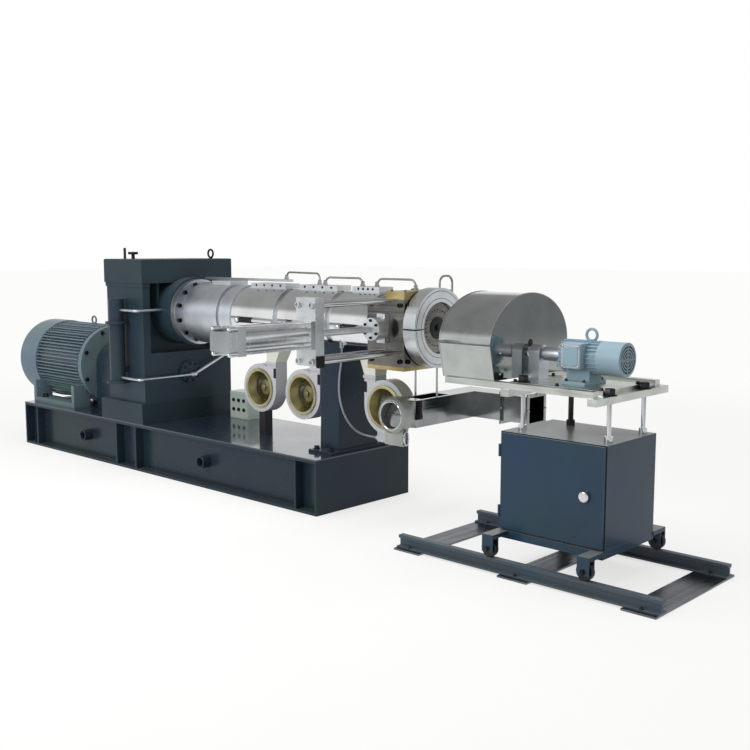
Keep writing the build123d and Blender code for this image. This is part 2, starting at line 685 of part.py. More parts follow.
def oil_cooler():
    """Upright tube cooler on two brackets at the gearbox's front."""
    z = (COOLER_BOTTOM, COOLER_TOP)
    cooler = rod_z(COOLER_X, COOLER_Y, z, COOLER_RADIUS)
    for low in (z[0], z[1] - COOLER_FLANGE_DROP):
        cooler += rod_z(COOLER_X, COOLER_Y, (low, low + COOLER_FLANGE_THICK), COOLER_FLANGE_RADIUS)
    half = COOLER_BRACKET_WIDTH / 2
    for height in (z[0] + COOLER_BRACKET_INSET, z[1] - COOLER_BRACKET_INSET):
        cooler += block((COOLER_X - half, COOLER_X + half), (COOLER_Y, -GEARBOX_HALF_WIDTH),
                        (height - half, height + half))
    wall = block((GEARBOX_LEFT, GEARBOX_RIGHT), (-GEARBOX_HALF_WIDTH, 0), (PLINTH_TOP, LID_BOTTOM))
    return cooler - wall


def oil_pipes():
    """Pipe to the lantern, pipe to the tee on the lower cap, and the return that slants up from the tee."""
    start = COOLER_X + COOLER_RADIUS
    upper_x = GEARBOX_RIGHT + UPPER_PIPE_STANDOFF
    upper = BARREL_HEIGHT + UPPER_PIPE_RISE
    feed = ((start, COOLER_Y, upper), (upper_x, COOLER_Y, upper), (upper_x, -LANTERN_RADIUS, upper))
    x = GEARBOX_RIGHT + OIL_PIPE_STANDOFF
    lower = COOLER_BOTTOM + LOWER_PIPE_RISE
    supply = ((start, COOLER_Y, lower), (x, COOLER_Y, lower), (x, 0, lower))
    top = LANTERN_BOTTOM - RETURN_PIPE_DROP
    back = ((x, 0, lower), (x, RETURN_PIPE_Y, top), (GEARBOX_RIGHT, RETURN_PIPE_Y, top))
    pipes = bent_pipe(supply, PIPE_BEND, OIL_PIPE_RADIUS) + bent_pipe(back, PIPE_BEND, OIL_PIPE_RADIUS)
    pipes += rod_y(x, (-TEE_LENGTH / 2, TEE_LENGTH / 2), lower, TEE_RADIUS)
    pipes += rod_x((GEARBOX_RIGHT + INPUT_CAP_THICK, x), 0, lower, TEE_RADIUS)
    shell = rod_z(COOLER_X, COOLER_Y, (COOLER_BOTTOM, COOLER_TOP), COOLER_RADIUS)
    drum = rod_x((LANTERN_START, LANTERN_END), 0, BARREL_HEIGHT, LANTERN_RADIUS)
    return group([pipes - shell, bent_pipe(feed, PIPE_BEND, OIL_PIPE_RADIUS) - shell - drum])


def output_lantern():
    """Round housing from the gearbox's recess to the barrel flange."""
    return rod_x((LANTERN_START, LANTERN_END), 0, BARREL_HEIGHT, LANTERN_RADIUS)


def barrel():
    """Stepped steel barrel from its bolted flange to the screen changer, cut for the feed port."""
    steps = ((BARREL_FLANGE_END, BARREL_FLANGE_RADIUS), (BARREL_NECK_END, BARREL_NECK_RADIUS),
             (FEED_BODY_END, FEED_BODY_RADIUS), (GROOVE_END, GROOVE_RADIUS),
             (COLLAR_END, COLLAR_RADIUS), (CHANGER_LEFT, BARREL_CORE_RADIUS))
    profile = [(LANTERN_END, 0)]
    start = LANTERN_END
    for end, radius in steps:
        profile += [(start, radius), (end, radius)]
        start = end
    profile.append((start, 0))
    solid = turned(profile, 0, BARREL_HEIGHT)
    x, y = feed_port_sides(0)
    solid -= block(x, y, (BARREL_HEIGHT + FEED_PORT_SEAT, FEED_PORT_TOP))
    x, y = feed_port_sides(FEED_PORT_WALL)
    return solid - block(x, y, (BARREL_HEIGHT, FEED_PORT_TOP))


def feed_port_sides(inset):
    """X and Y spans of the feed port, drawn in by inset."""
    half = FEED_PORT_WIDTH / 2 - inset
    return (FEED_PORT_START + inset, FEED_PORT_END - inset), (-half, half)


def feed_throat():
    """Rectangular feed port let into the barrel's top."""
    x, y = feed_port_sides(0)
    z = (BARREL_HEIGHT + FEED_PORT_SEAT, FEED_PORT_TOP)
    hole_x, hole_y = feed_port_sides(FEED_PORT_WALL)
    return block(x, y, z) - block(hole_x, hole_y, (z[0] - 1, z[1] + 1))


def cover_span(number):
    """X where heater cover number begins and ends; the last one is shorter than the others."""
    start = COLLAR_END + number * (COVER_LENGTH + COVER_GAP)
    return start, start + (LAST_COVER_LENGTH if number == COVER_COUNT - 1 else COVER_LENGTH)


def heater_covers():
    """Polished tubular covers round the barrel's heated zones, each with its latch rod on the front."""
    pieces = []
    latch_y = -math.sqrt(COVER_RADIUS ** 2 - LATCH_DROP ** 2)
    for number in range(COVER_COUNT):
        x = cover_span(number)
        cover = rod_x(x, 0, BARREL_HEIGHT, COVER_RADIUS)
        cover += rod_x((x[0] + LATCH_INSET, x[1]), latch_y, BARREL_HEIGHT - LATCH_DROP, LATCH_RADIUS)
        if number == COVER_COUNT - 1:
            cover += cable_gland()
        pieces.append(cover - rod_x(x, 0, BARREL_HEIGHT, BARREL_CORE_RADIUS))
    return group(pieces)


def cable_gland():
    """Gland under the last cover that the blower's cable hangs from."""
    x, y = CABLE_START
    return rod_z(x, y, (BARREL_HEIGHT - CABLE_START_DROP, BARREL_HEIGHT), CABLE_GLAND_RADIUS)


def terminal_boxes():
    """Heater terminal boxes on top of the covers, and one on the screen changer."""
    y = (-TERMINAL_WIDTH / 2, TERMINAL_WIDTH / 2)
    pieces = []
    for number in range(COVER_COUNT):
        start, end = cover_span(number)
        x = (start + TERMINAL_START_INSET, end - TERMINAL_END_INSET)
        box = block(x, y, (BARREL_HEIGHT, COVER_TOP + TERMINAL_RISE))
        pieces.append(box - rod_x((start, end), 0, BARREL_HEIGHT, COVER_RADIUS))
    box_x = (CHANGER_X - CHANGER_TERMINAL_LENGTH, CHANGER_X)
    pieces.append(block(box_x, y, (CHANGER_TOP, CHANGER_TOP + CHANGER_TERMINAL_HEIGHT)))
    return group(pieces)


def wiring_trough():
    """Long wiring trough beside the feed port, on two posts."""
    y = (TROUGH_Y - TROUGH_WIDTH / 2, TROUGH_Y + TROUGH_WIDTH / 2)
    low = TROUGH_TOP - TROUGH_HEIGHT
    trough = block((TROUGH_START, TROUGH_START + TROUGH_LENGTH), y, (low, TROUGH_TOP))
    body = rod_x((LANTERN_END, FEED_BODY_END), 0, BARREL_HEIGHT, FEED_BODY_RADIUS)
    for place in TROUGH_POST_PLACES:
        post = rod_z(BARREL_FLANGE_END + place, TROUGH_Y, (BARREL_HEIGHT, low), TROUGH_POST_RADIUS)
        trough += post - body
    return trough


def arch(start, end, top):
    """Conduit that rises from start, crosses at height top and comes down on end."""
    points = (start, (start[0], start[1], top), (end[0], end[1], top), end)
    return bent_pipe(points, CONDUIT_BEND, CONDUIT_RADIUS)


def heater_conduits():
    """Stiff conduits that arch from the trough over the terminal boxes to the die."""
    lid = COVER_TOP + TERMINAL_RISE
    first, second, third = [cover_span(number) for number in range(COVER_COUNT)]
    trough_end = (TROUGH_START + TROUGH_LENGTH - CONDUIT_BEND, TROUGH_Y, TROUGH_TOP)
    pieces = [arch(trough_end, (second[0] + CONDUIT_INSET * 2, 0, lid), TROUGH_TOP + CONDUIT_ARCH)]
    pieces.append(arch((second[1] - CONDUIT_INSET * 2, 0, lid), (third[0] + CONDUIT_INSET, 0, lid),
                       lid + CONDUIT_ARCH))
    seat = CHANGER_TOP + TOP_HEATER_THICK
    pieces.append(arch((third[1] - CONDUIT_INSET, 0, lid), (CHANGER_RIGHT - CONDUIT_INSET, 0, seat),
                       lid + CONDUIT_ARCH))
    x = (CLAMP_LEFT + CLAMP_RIGHT) / 2
    near, far = [(x, y, BARREL_HEIGHT + math.sqrt(CLAMP_RADIUS ** 2 - y ** 2)) for y in DIE_LOOP_PLACES]
    loop = arch(near, far, BARREL_HEIGHT + CLAMP_RADIUS + DIE_LOOP_RISE)
    pieces.append(loop - rod_x((CLAMP_LEFT, CLAMP_RIGHT), 0, BARREL_HEIGHT, CLAMP_RADIUS))
    return group(pieces)


def support_column():
    """Welded column from the deck to the barrel, tapering upwards, with a saddle cut to the barrel."""
    low = DECK_TOP + COLUMN_FOOT_THICK
    foot = block((COLUMN_X - COLUMN_FOOT_LENGTH / 2, COLUMN_X + COLUMN_FOOT_LENGTH / 2),
                 (-COLUMN_FOOT_WIDTH / 2, COLUMN_FOOT_WIDTH / 2), (DECK_TOP, low))
    lower = Pos(COLUMN_X, 0, low) * Rectangle(COLUMN_LENGTH, COLUMN_BOTTOM_WIDTH)
    upper = Pos(COLUMN_X, 0, BARREL_HEIGHT) * Rectangle(COLUMN_LENGTH, COLUMN_TOP_WIDTH)
    saddle = rod_x((COLUMN_X - COLUMN_LENGTH, COLUMN_X + COLUMN_LENGTH), 0, BARREL_HEIGHT, COVER_RADIUS)
    return foot + loft([lower, upper]) - saddle


def outlet_x(x, hand):
    """Middle of a blower's outlet: on its right for hand +1, on its left for -1."""
    return x + hand * (BLOWER_RADIUS - OUTLET_WIDTH / 2)


def outlet_top(lift):
    """Height of a blower's outlet flange."""
    return BLOWER_MIDDLE + lift + BLOWER_RADIUS + OUTLET_RISE


def blowers():
    """Centrifugal cooling blowers: round casings with a front inlet and an outlet that leaves upwards."""
    pieces = []
    y = (BLOWER_FACE_Y, BLOWER_BACK_Y)
    for number, (x, lift, hand) in enumerate(BLOWER_PLACES):
        z = BLOWER_MIDDLE + lift
        casing = rod_y(x, y, z, BLOWER_RADIUS)
        middle = outlet_x(x, hand)
        casing += block((middle - OUTLET_WIDTH / 2, middle + OUTLET_WIDTH / 2), y, (z, outlet_top(lift)))
        if number == len(BLOWER_PLACES) - 1:
            casing += blower_box(x, z)
        pieces.append(casing - rod_y(x, (y[0] - 1, y[0] + BLOWER_MOUTH_DEPTH), z, BLOWER_MOUTH_RADIUS))
    return group(pieces)


def blower_box(x, z):
    """Small terminal box under the last blower, with the gland that its cable runs into."""
    left = x - BLOWER_BOX_INSET - BLOWER_BOX_LENGTH / 2
    half = BLOWER_BOX_WIDTH / 2
    box = block((left, left + BLOWER_BOX_LENGTH), (BLOWER_Y - half, BLOWER_Y + half),
                (z - BLOWER_BOX_DROP, z))
    end = cable_end()
    return box + rod_x((end[0], left), end[1], end[2], CABLE_GLAND_RADIUS)


def cable_end():
    """Point where the cable runs into the gland of the last blower's box."""
    blower_x, lift, hand = BLOWER_PLACES[-1]
    x = blower_x - BLOWER_BOX_INSET - BLOWER_BOX_LENGTH / 2 - CABLE_GLAND_LENGTH
    return x, CABLE_POINTS[-1][1], BLOWER_MIDDLE + lift - CABLE_END_DROP


def blower_cable():
    """Hanging cable of the last blower: straight runs joined by arcs as large as the runs allow."""
    end = cable_end()
    top = BARREL_HEIGHT - CABLE_START_DROP
    steepness = (top - end[2]) / CABLE_FALL
    points = [Vector(*CABLE_START, top)]
    points += [Vector(x, y, end[2] + rise * steepness) for x, y, rise in CABLE_POINTS]
    points.append(Vector(*end))
    radii = []
    for before, corner, after in zip(points, points[1:], points[2:]):
        turn = math.radians((corner - before).get_angle(after - corner))
        shorter = min((corner - before).length, (after - corner).length)
        radii.append(CABLE_BEND_SHARE * shorter / math.tan(turn / 2))
    path = FilletPolyline(*points, radius=radii)
    print("cable length", round(path.length), "radii", [round(radius) for radius in radii])
    return sweep(Plane(origin=path @ 0, z_dir=path % 0) * Circle(CABLE_RADIUS), path=path)


def blower_inlets():
    """Flared inlet rings let into the blowers' front faces."""
    face = BLOWER_FACE_Y
    rim = BLOWER_MOUTH_RADIUS - INLET_GAP
    profile = ((face - INLET_LIP_THICK, rim - INLET_SHEET), (face - INLET_LIP_THICK, rim + INLET_LIP_WIDTH),
               (face, rim + INLET_LIP_WIDTH), (face, rim), (face + INLET_DEPTH, INLET_THROAT_RADIUS),
               (face + INLET_DEPTH, INLET_THROAT_RADIUS - INLET_SHEET))
    return group(turned_y(profile, x, BLOWER_MIDDLE + lift) for x, lift, hand in BLOWER_PLACES)


def blower_boots():
    """Flared boots from the blowers' outlets to the barrel; the last leans away from the screen changer."""
    pieces = []
    for x, lift, hand in BLOWER_PLACES:
        foot = outlet_x(x, hand)
        head = foot if hand > 0 else foot - BOOT_LEAN
        narrow = Pos(foot, BLOWER_Y, outlet_top(lift)) * Rectangle(OUTLET_WIDTH, BLOWER_DEPTH)
        wide = Pos(head, 0, COVER_BOTTOM + BOOT_LAP) * Rectangle(BOOT_TOP_LENGTH, BOOT_TOP_WIDTH)
        boot = loft([narrow, wide])
        pieces.append(boot - rod_x((COLLAR_END, CHANGER_LEFT), 0, BARREL_HEIGHT, COVER_RADIUS))
    return group(pieces)


def blower_stand():
    """Short stand under the first blower."""
    x, lift, hand = BLOWER_PLACES[0]
    z = BLOWER_MIDDLE + lift
    half = BLOWER_STAND_WIDTH / 2
    stand = block((x - half, x + half), (BLOWER_Y - half, BLOWER_Y + half), (DECK_TOP, z))
    return stand - rod_y(x, (BLOWER_FACE_Y - 1, BLOWER_BACK_Y + 1), z, BLOWER_RADIUS)


def junction_box():
    """Terminal box with cable glands on the deck behind the blowers."""
    x = (JUNCTION_X - JUNCTION_LENGTH / 2, JUNCTION_X + JUNCTION_LENGTH / 2)
    y = (JUNCTION_Y, JUNCTION_Y + JUNCTION_DEPTH)
    return block(x, y, (DECK_TOP, DECK_TOP + JUNCTION_HEIGHT))


def slide_slot():
    """Space that the screen slide needs through the screen changer."""
    half = SLIDE_THICK / 2 + SLIDE_CLEARANCE
    rise = SLIDE_HEIGHT / 2 + SLIDE_CLEARANCE
    return block((CHANGER_X - half, CHANGER_X + half), (-CHANGER_HALF_WIDTH - 1, CHANGER_HALF_WIDTH + 1),
                 (BARREL_HEIGHT - rise, BARREL_HEIGHT + rise))


def screen_changer_body():
    """Steel block with a slot across it for the screen slide."""
    body = block((CHANGER_LEFT, CHANGER_RIGHT), (-CHANGER_HALF_WIDTH, CHANGER_HALF_WIDTH),
                 (CHANGER_BOTTOM, CHANGER_TOP))
    return body - slide_slot()


def changer_heaters():
    """Flat heater plate under the block, and a thicker one on the die half of its top."""
    y = (-CHANGER_HALF_WIDTH, CHANGER_HALF_WIDTH)
    lower = block((CHANGER_LEFT, CHANGER_RIGHT), y, (CHANGER_BOTTOM - HEATER_STRIP_THICK, CHANGER_BOTTOM))
    return group([lower, block((CHANGER_X, CHANGER_RIGHT), y, (CHANGER_TOP, CHANGER_TOP + TOP_HEATER_THICK))])


def tie_bars():
    """Four bars that carry the cylinder's yoke from the screen changer."""
    pieces = []
    for dx in (-TIE_BAR_SPREAD / 2, TIE_BAR_SPREAD / 2):
        for dz in (-TIE_BAR_DROP, TIE_BAR_RISE):
            y = (YOKE_BACK_Y, -CHANGER_HALF_WIDTH)
            pieces.append(rod_y(CHANGER_X + dx, y, BARREL_HEIGHT + dz, TIE_BAR_RADIUS))
    return group(pieces)


def cylinder_yoke():
    """Thick plate that holds the cylinder's head, drilled for the rod."""
    x = (CHANGER_X - YOKE_WIDTH / 2, CHANGER_X + YOKE_WIDTH / 2)
    z = (BARREL_HEIGHT - YOKE_DROP, BARREL_HEIGHT + YOKE_RISE)
    plate = block(x, (YOKE_FACE_Y, YOKE_BACK_Y), z)
    return plate - rod_drill(YOKE_FACE_Y, YOKE_BACK_Y)


def rod_drill(front, back):
    """Running hole for the cylinder's rod between two values of Y."""
    return rod_y(CHANGER_X, (front - 1, back + 1), BARREL_HEIGHT, CYLINDER_ROD_RADIUS + ROD_CLEARANCE)


def hydraulic_cylinder():
    """Tie-rod cylinder: square end caps, a port block behind, bored tube, four tie rods and their nuts."""
    half = CYLINDER_CAP_SIDE / 2
    x = (CHANGER_X - half, CHANGER_X + half)
    z = (BARREL_HEIGHT - half, BARREL_HEIGHT + half)
    head = (YOKE_FACE_Y - CYLINDER_HEAD_THICK, YOKE_FACE_Y)
    rear = (CYLINDER_REAR_Y, CYLINDER_REAR_Y + CYLINDER_CAP_THICK)
    cylinder = block(x, head, z) + block(x, rear, z)
    port_z = (BARREL_HEIGHT - CYLINDER_PORT_HEIGHT / 2, BARREL_HEIGHT + CYLINDER_PORT_HEIGHT / 2)
    cylinder += block(x, (rear[0] - CYLINDER_PORT_LENGTH, rear[0]), port_z)
    cylinder += rod_y(CHANGER_X, (rear[1], head[0]), BARREL_HEIGHT, CYLINDER_TUBE_RADIUS)
    corner = half - CYLINDER_NUT_RADIUS
    for dx in (-corner, corner):
        for dz in (-corner, corner):
            cylinder += rod_y(CHANGER_X + dx, (rear[0], head[0]), BARREL_HEIGHT + dz, CYLINDER_TIE_RADIUS)
            nut = (rear[0] - CYLINDER_NUT_LENGTH, rear[0])
            cylinder += rod_y(CHANGER_X + dx, nut, BARREL_HEIGHT + dz, CYLINDER_NUT_RADIUS)
    cylinder -= rod_y(CHANGER_X, (rear[1], head[0]), BARREL_HEIGHT, CYLINDER_BORE_RADIUS)
    return cylinder - rod_drill(head[0], head[1])


def screen_slide():
    """Slide plate with its rod coupling, rod and piston."""
    half = SLIDE_THICK / 2
    front = -CHANGER_HALF_WIDTH - SLIDE_FRONT_REACH
    plate = block((CHANGER_X - half, CHANGER_X + half), (front, front + SLIDE_LENGTH),
                  (BARREL_HEIGHT - SLIDE_HEIGHT / 2, BARREL_HEIGHT + SLIDE_HEIGHT / 2))
    coupling = (front - ROD_COUPLING_LENGTH, front)
    plate += rod_y(CHANGER_X, coupling, BARREL_HEIGHT, ROD_COUPLING_RADIUS)
    piston_front = YOKE_FACE_Y - CYLINDER_HEAD_THICK - PISTON_GAP
    piston = (piston_front - PISTON_LENGTH, piston_front)
    plate += rod_y(CHANGER_X, (piston[0], coupling[0]), BARREL_HEIGHT, CYLINDER_ROD_RADIUS)
    return plate + rod_y(CHANGER_X, piston, BARREL_HEIGHT, CYLINDER_BORE_RADIUS - ROD_CLEARANCE)


def die_clamp():
    """Two half rings that clamp the die head, split on the horizontal."""
    ring = rod_x((CLAMP_LEFT, CLAMP_RIGHT), 0, BARREL_HEIGHT, CLAMP_RADIUS)
    ring -= rod_x((CLAMP_LEFT - 1, CLAMP_RIGHT + 1), 0, BARREL_HEIGHT, CLAMP_INNER_RADIUS)
    reach = CLAMP_RADIUS + 1
    ring -= block((CLAMP_LEFT - 1, CLAMP_RIGHT + 1), (-reach, reach),
                  (BARREL_HEIGHT - CLAMP_SPLIT / 2, BARREL_HEIGHT + CLAMP_SPLIT / 2))
    return group(ring.solids())


def die_plate():
    """Round die head from the screen changer into the clamp."""
    radius = CLAMP_INNER_RADIUS - DIE_GAP
    neck = rod_x((CHANGER_RIGHT, CLAMP_LEFT + DIE_LENGTH), 0, BARREL_HEIGHT, radius)
    return neck + rod_x((CHANGER_RIGHT, CLAMP_LEFT), 0, BARREL_HEIGHT, CLAMP_INNER_RADIUS + DIE_COLLAR_LAP)


def pellet_duct():
    """Square sheet duct with a corner, an open mouth in its top under the die, and an open outlet."""
    half = DUCT_SIDE / 2
    z = (DUCT_BOTTOM, DUCT_TOP)
    outer = block((DUCT_X - half, DUCT_X + half), (DUCT_FRONT, DUCT_BACK), z)
    outer += block((DUCT_X + half, DUCT_END_X), (DUCT_BACK - DUCT_SIDE, DUCT_BACK), z)
    lip = DUCT_FLANGE_LIP
    for flange_x in (DUCT_X + DUCT_JOINT, DUCT_END_X - DUCT_FLANGE_THICK):
        outer += block((flange_x, flange_x + DUCT_FLANGE_THICK),
                       (DUCT_BACK - DUCT_SIDE - lip, DUCT_BACK + lip), (z[0] - lip, z[1] + lip))
    wall = DUCT_WALL
    inside_z = (z[0] + wall, z[1] - wall)
    outer -= block((DUCT_X - half + wall, DUCT_X + half - wall), (DUCT_FRONT - 1, DUCT_BACK - wall), inside_z)
    outer -= block((DUCT_X, DUCT_END_X + 1), (DUCT_BACK - DUCT_SIDE + wall, DUCT_BACK - wall), inside_z)
    mouth_x = (DUCT_X - DUCT_MOUTH_WIDTH / 2, DUCT_X + DUCT_MOUTH_WIDTH / 2)
    mouth_y = (-DUCT_MOUTH_LENGTH / 2, DUCT_MOUTH_LENGTH / 2)
    return outer - block(mouth_x, mouth_y, (z[1] - wall - 1, z[1] + 1))


def duct_collar():
    """Round air inlet with a bevelled lip, square where it meets the duct, and its damper box below."""
    neck = DUCT_FRONT - INLET_NECK_LENGTH
    lip = neck - INLET_COLLAR_LENGTH
    flat = Plane(origin=(DUCT_X, DUCT_FRONT, DUCT_AXIS), x_dir=(1, 0, 0), z_dir=(0, -1, 0))
    square = flat * Rectangle(DUCT_SIDE, DUCT_SIDE)
    collar = loft([square, flat.offset(INLET_NECK_LENGTH) * Circle(INLET_NECK_RADIUS)])
    bevel = INLET_LIP_BEVEL
    profile = ((neck, 0), (neck, INLET_COLLAR_RADIUS), (lip + bevel, INLET_COLLAR_RADIUS),
               (lip, INLET_COLLAR_RADIUS - bevel), (lip, 0))
    collar += turned_y(profile, DUCT_X, DUCT_AXIS)
    half = DAMPER_BOX_LENGTH / 2
    top = DUCT_AXIS - INLET_BORE_RADIUS
    low = DUCT_AXIS - INLET_COLLAR_RADIUS - DAMPER_BOX_HEIGHT
    collar += block((DUCT_X - half, DUCT_X + half), (neck - DAMPER_BOX_WIDTH, neck), (low, top))
    return collar - rod_y(DUCT_X, (lip - 1, DUCT_FRONT + 1), DUCT_AXIS, INLET_BORE_RADIUS)


def duct_hangers():
    """Rods on the rim of the duct's mouth, one to the screen changer and one to the die clamp."""
    pieces = []
    underside = block((CHANGER_LEFT, CHANGER_RIGHT), (-CHANGER_HALF_WIDTH, CHANGER_HALF_WIDTH),
                      (CHANGER_BOTTOM - HEATER_STRIP_THICK, CHANGER_TOP))
    underside += rod_x((CLAMP_LEFT, CLAMP_RIGHT), 0, BARREL_HEIGHT, CLAMP_RADIUS)
    for side, y in HANGER_PLACES:
        x = DUCT_X + side * (DUCT_SIDE / 2 - HANGER_INSET)
        pieces.append(rod_z(x, y, (DUCT_TOP, CHANGER_BOTTOM), HANGER_RADIUS) - underside)
    return group(pieces)


def rail(y):
    """Light rail with head, web and foot, along X at y."""
    x = (RAIL_START, RAIL_END)
    foot_top = TIE_THICK + RAIL_FOOT_THICK
    head_bottom = RAIL_TOP - RAIL_HEAD_THICK
    solid = block(x, (y - RAIL_FOOT_WIDTH / 2, y + RAIL_FOOT_WIDTH / 2), (TIE_THICK, foot_top))
    solid += block(x, (y - RAIL_WEB_THICK / 2, y + RAIL_WEB_THICK / 2), (foot_top, head_bottom))
    return solid + block(x, (y - RAIL_HEAD_WIDTH / 2, y + RAIL_HEAD_WIDTH / 2), (head_bottom, RAIL_TOP))


def rail_ties():
    """Flat plates on the floor under the rails."""
    pieces = []
    reach = RAIL_FOOT_WIDTH / 2 + TIE_OVERHANG
    y = (WHEEL_Y[0] - reach, WHEEL_Y[1] + reach)
    step = (RAIL_END - RAIL_START - TIE_WIDTH) / (TIE_COUNT - 1)
    for number in range(TIE_COUNT):
        x = RAIL_START + number * step
        pieces.append(block((x, x + TIE_WIDTH), y, (0, TIE_THICK)))
    return group(pieces)


def hinge_heights():
    """Lower ends of the door's two hinge knuckles."""
    low = CABINET_BOTTOM + DOOR_HINGE_INSET
    high = CABINET_TOP - DOOR_HINGE_INSET - DOOR_HINGE_HEIGHT
    return low, high


def cart_cabinet():
    """Sheet cabinet, open at the front where the door closes it, with the fixed halves of the hinges."""
    x = (CABINET_LEFT, CABINET_RIGHT)
    y = (CABINET_FRONT + DOOR_THICK, CABINET_BACK)
    z = (CABINET_BOTTOM, CABINET_TOP)
    cabinet = block(x, y, z)
    cabinet -= block((x[0] + CABINET_SHEET, x[1] - CABINET_SHEET), (y[0] - 1, y[1] - CABINET_SHEET),
                     (z[0] + CABINET_SHEET, z[1] - CABINET_SHEET))
    for low in hinge_heights():
        fixed = (low, low + DOOR_HINGE_HEIGHT / 2 - HINGE_GAP)
        cabinet += block((x[0], x[0] + CABINET_SHEET), (CABINET_FRONT, y[0]), fixed)
        cabinet += rod_z(HINGE_X, HINGE_Y, fixed, DOOR_HINGE_RADIUS)
        cabinet += rod_z(HINGE_X, HINGE_Y, (low, low + DOOR_HINGE_HEIGHT), HINGE_PIN_RADIUS)
    return cabinet


def cabinet_door():
    """Door panel with its half of the two hinges on the left edge."""
    x = (CABINET_LEFT + DOOR_HINGE_RADIUS * 2, CABINET_RIGHT - DOOR_GAP)
    y = (CABINET_FRONT, CABINET_FRONT + DOOR_THICK - DOOR_GAP / 2)
    door = block(x, y, (CABINET_BOTTOM + DOOR_GAP * 2, CABINET_TOP - DOOR_GAP))
    for low in hinge_heights():
        swung = (low + DOOR_HINGE_HEIGHT / 2, low + DOOR_HINGE_HEIGHT)
        door += rod_z(HINGE_X, HINGE_Y, swung, DOOR_HINGE_RADIUS)
        door += block((HINGE_X, x[0]), (HINGE_Y, HINGE_Y + DOOR_HINGE_RADIUS), swung)
        door -= rod_z(HINGE_X, HINGE_Y, swung, HINGE_PIN_RADIUS + HINGE_CLEARANCE)
    return door


def door_knob():
    """Round lock knob on the door."""
    z = (CABINET_BOTTOM + CABINET_TOP) / 2
    knob = rod_y(CABINET_RIGHT - KNOB_INSET, (CABINET_FRONT - KNOB_LENGTH, CABINET_FRONT), z, KNOB_RADIUS)
    return fillet(knob.edges().group_by(Axis.Y)[0], KNOB_LENGTH / 3)


def cart_underframe():
    """Angle frame under the cabinet with four arms out to the casters' forks."""
    top = CABINET_BOTTOM
    low = top - UNDERFRAME_HEIGHT
    x = (CABINET_LEFT, CABINET_RIGHT)
    y = (CABINET_FRONT, CABINET_BACK)
    frame = block(x, y, (low, top))
    frame -= block((x[0] + UNDERFRAME_WIDTH, x[1] - UNDERFRAME_WIDTH),
                   (y[0] + UNDERFRAME_WIDTH, y[1] - UNDERFRAME_WIDTH), (low - 1, top + 1))
    inner = WHEEL_WIDTH / 2 + FORK_GAP
    for wheel_x in WHEEL_X:
        fork_x = (wheel_x - FORK_WIDTH / 2, wheel_x + FORK_WIDTH / 2)
        for wheel_y in WHEEL_Y:
            near = y[0] if wheel_y < RAIL_CENTRE_Y else y[1]
            far = wheel_y + math.copysign(inner + FORK_PLATE, wheel_y - RAIL_CENTRE_Y)
            arm_x = (wheel_x - ARM_WIDTH / 2, wheel_x + ARM_WIDTH / 2)
            frame += block(arm_x, (min(near, far), max(near, far)), (top - ARM_THICK, top))
            for side in (-inner - FORK_PLATE, inner):
                frame += block(fork_x, (wheel_y + side, wheel_y + side + FORK_PLATE),
                               (WHEEL_HEIGHT - FORK_DROP, top - ARM_THICK))
            frame += rod_y(wheel_x, (wheel_y - inner, wheel_y + inner), WHEEL_HEIGHT, AXLE_RADIUS)
    return frame


def caster_wheel(x, y):
    """Plain tread wheel bored for its axle."""
    span = (y - WHEEL_WIDTH / 2, y + WHEEL_WIDTH / 2)
    wheel = rod_y(x, span, WHEEL_HEIGHT, WHEEL_RADIUS)
    wheel = chamfer(wheel.edges().filter_by(GeomType.CIRCLE), WHEEL_BEVEL)
    return wheel - rod_y(x, span, WHEEL_HEIGHT, AXLE_RADIUS + AXLE_CLEARANCE)


def guide_posts():
    """Bright posts from the cabinet's top to the cross bars, each in a collar."""
    pieces = []
    for x, y in ((POST_X[0], POST_FRONT_Y), (POST_X[1], POST_FRONT_Y), (POST_X[1], POST_BACK_Y)):
        post = rod_z(x, y, (CABINET_TOP, CROSS_BAR_BOTTOM), POST_RADIUS)
        collar = (CABINET_TOP, CABINET_TOP + POST_COLLAR_HEIGHT)
        pieces.append(post + rod_z(x, y, collar, POST_COLLAR_RADIUS))
    return group(pieces)


def jack_screw():
    """Height screw with its collar nut between the cabinet and the motor plate."""
    screw = rod_z(JACK_X, JACK_Y, (CABINET_TOP, PLATE_BOTTOM), JACK_RADIUS)
    collar = (CABINET_TOP, CABINET_TOP + POST_COLLAR_HEIGHT)
    return screw + rod_z(JACK_X, JACK_Y, collar, JACK_COLLAR_RADIUS)


def table_frame():
    """Two cross bars on the posts, and two long bars on them that carry the hood's feet."""
    outer = HOOD_FOOT_HALF_WIDTH + LONG_BAR_LIP
    cross_y = (CUTTER_Y - outer - CROSS_BAR_FRONT_LAP, CUTTER_Y + outer + CROSS_BAR_BACK_LAP)
    long_x = (HOOD_LEFT + LONG_BAR_INSET, POST_X[1])
    half = CROSS_BAR_WIDTH / 2
    frame = [block((x - half, x + half), cross_y, (CROSS_BAR_BOTTOM, PLATE_BOTTOM)) for x in POST_X]
    for low in (CUTTER_Y - outer, CUTTER_Y + outer - LONG_BAR_WIDTH):
        frame.append(block(long_x, (low, low + LONG_BAR_WIDTH), (PLATE_BOTTOM, HOOD_FOOT)))
    return frame[0] + frame[1:]


def motor_plate():
    """Plate on the cross bars that carries the bearing and the cutter motor."""
    y = (CUTTER_Y - PLATE_WIDTH / 2, CUTTER_Y + PLATE_WIDTH / 2)
    return block((PLATE_LEFT, PLATE_LEFT + PLATE_LENGTH), y, (PLATE_BOTTOM, PLATE_TOP))


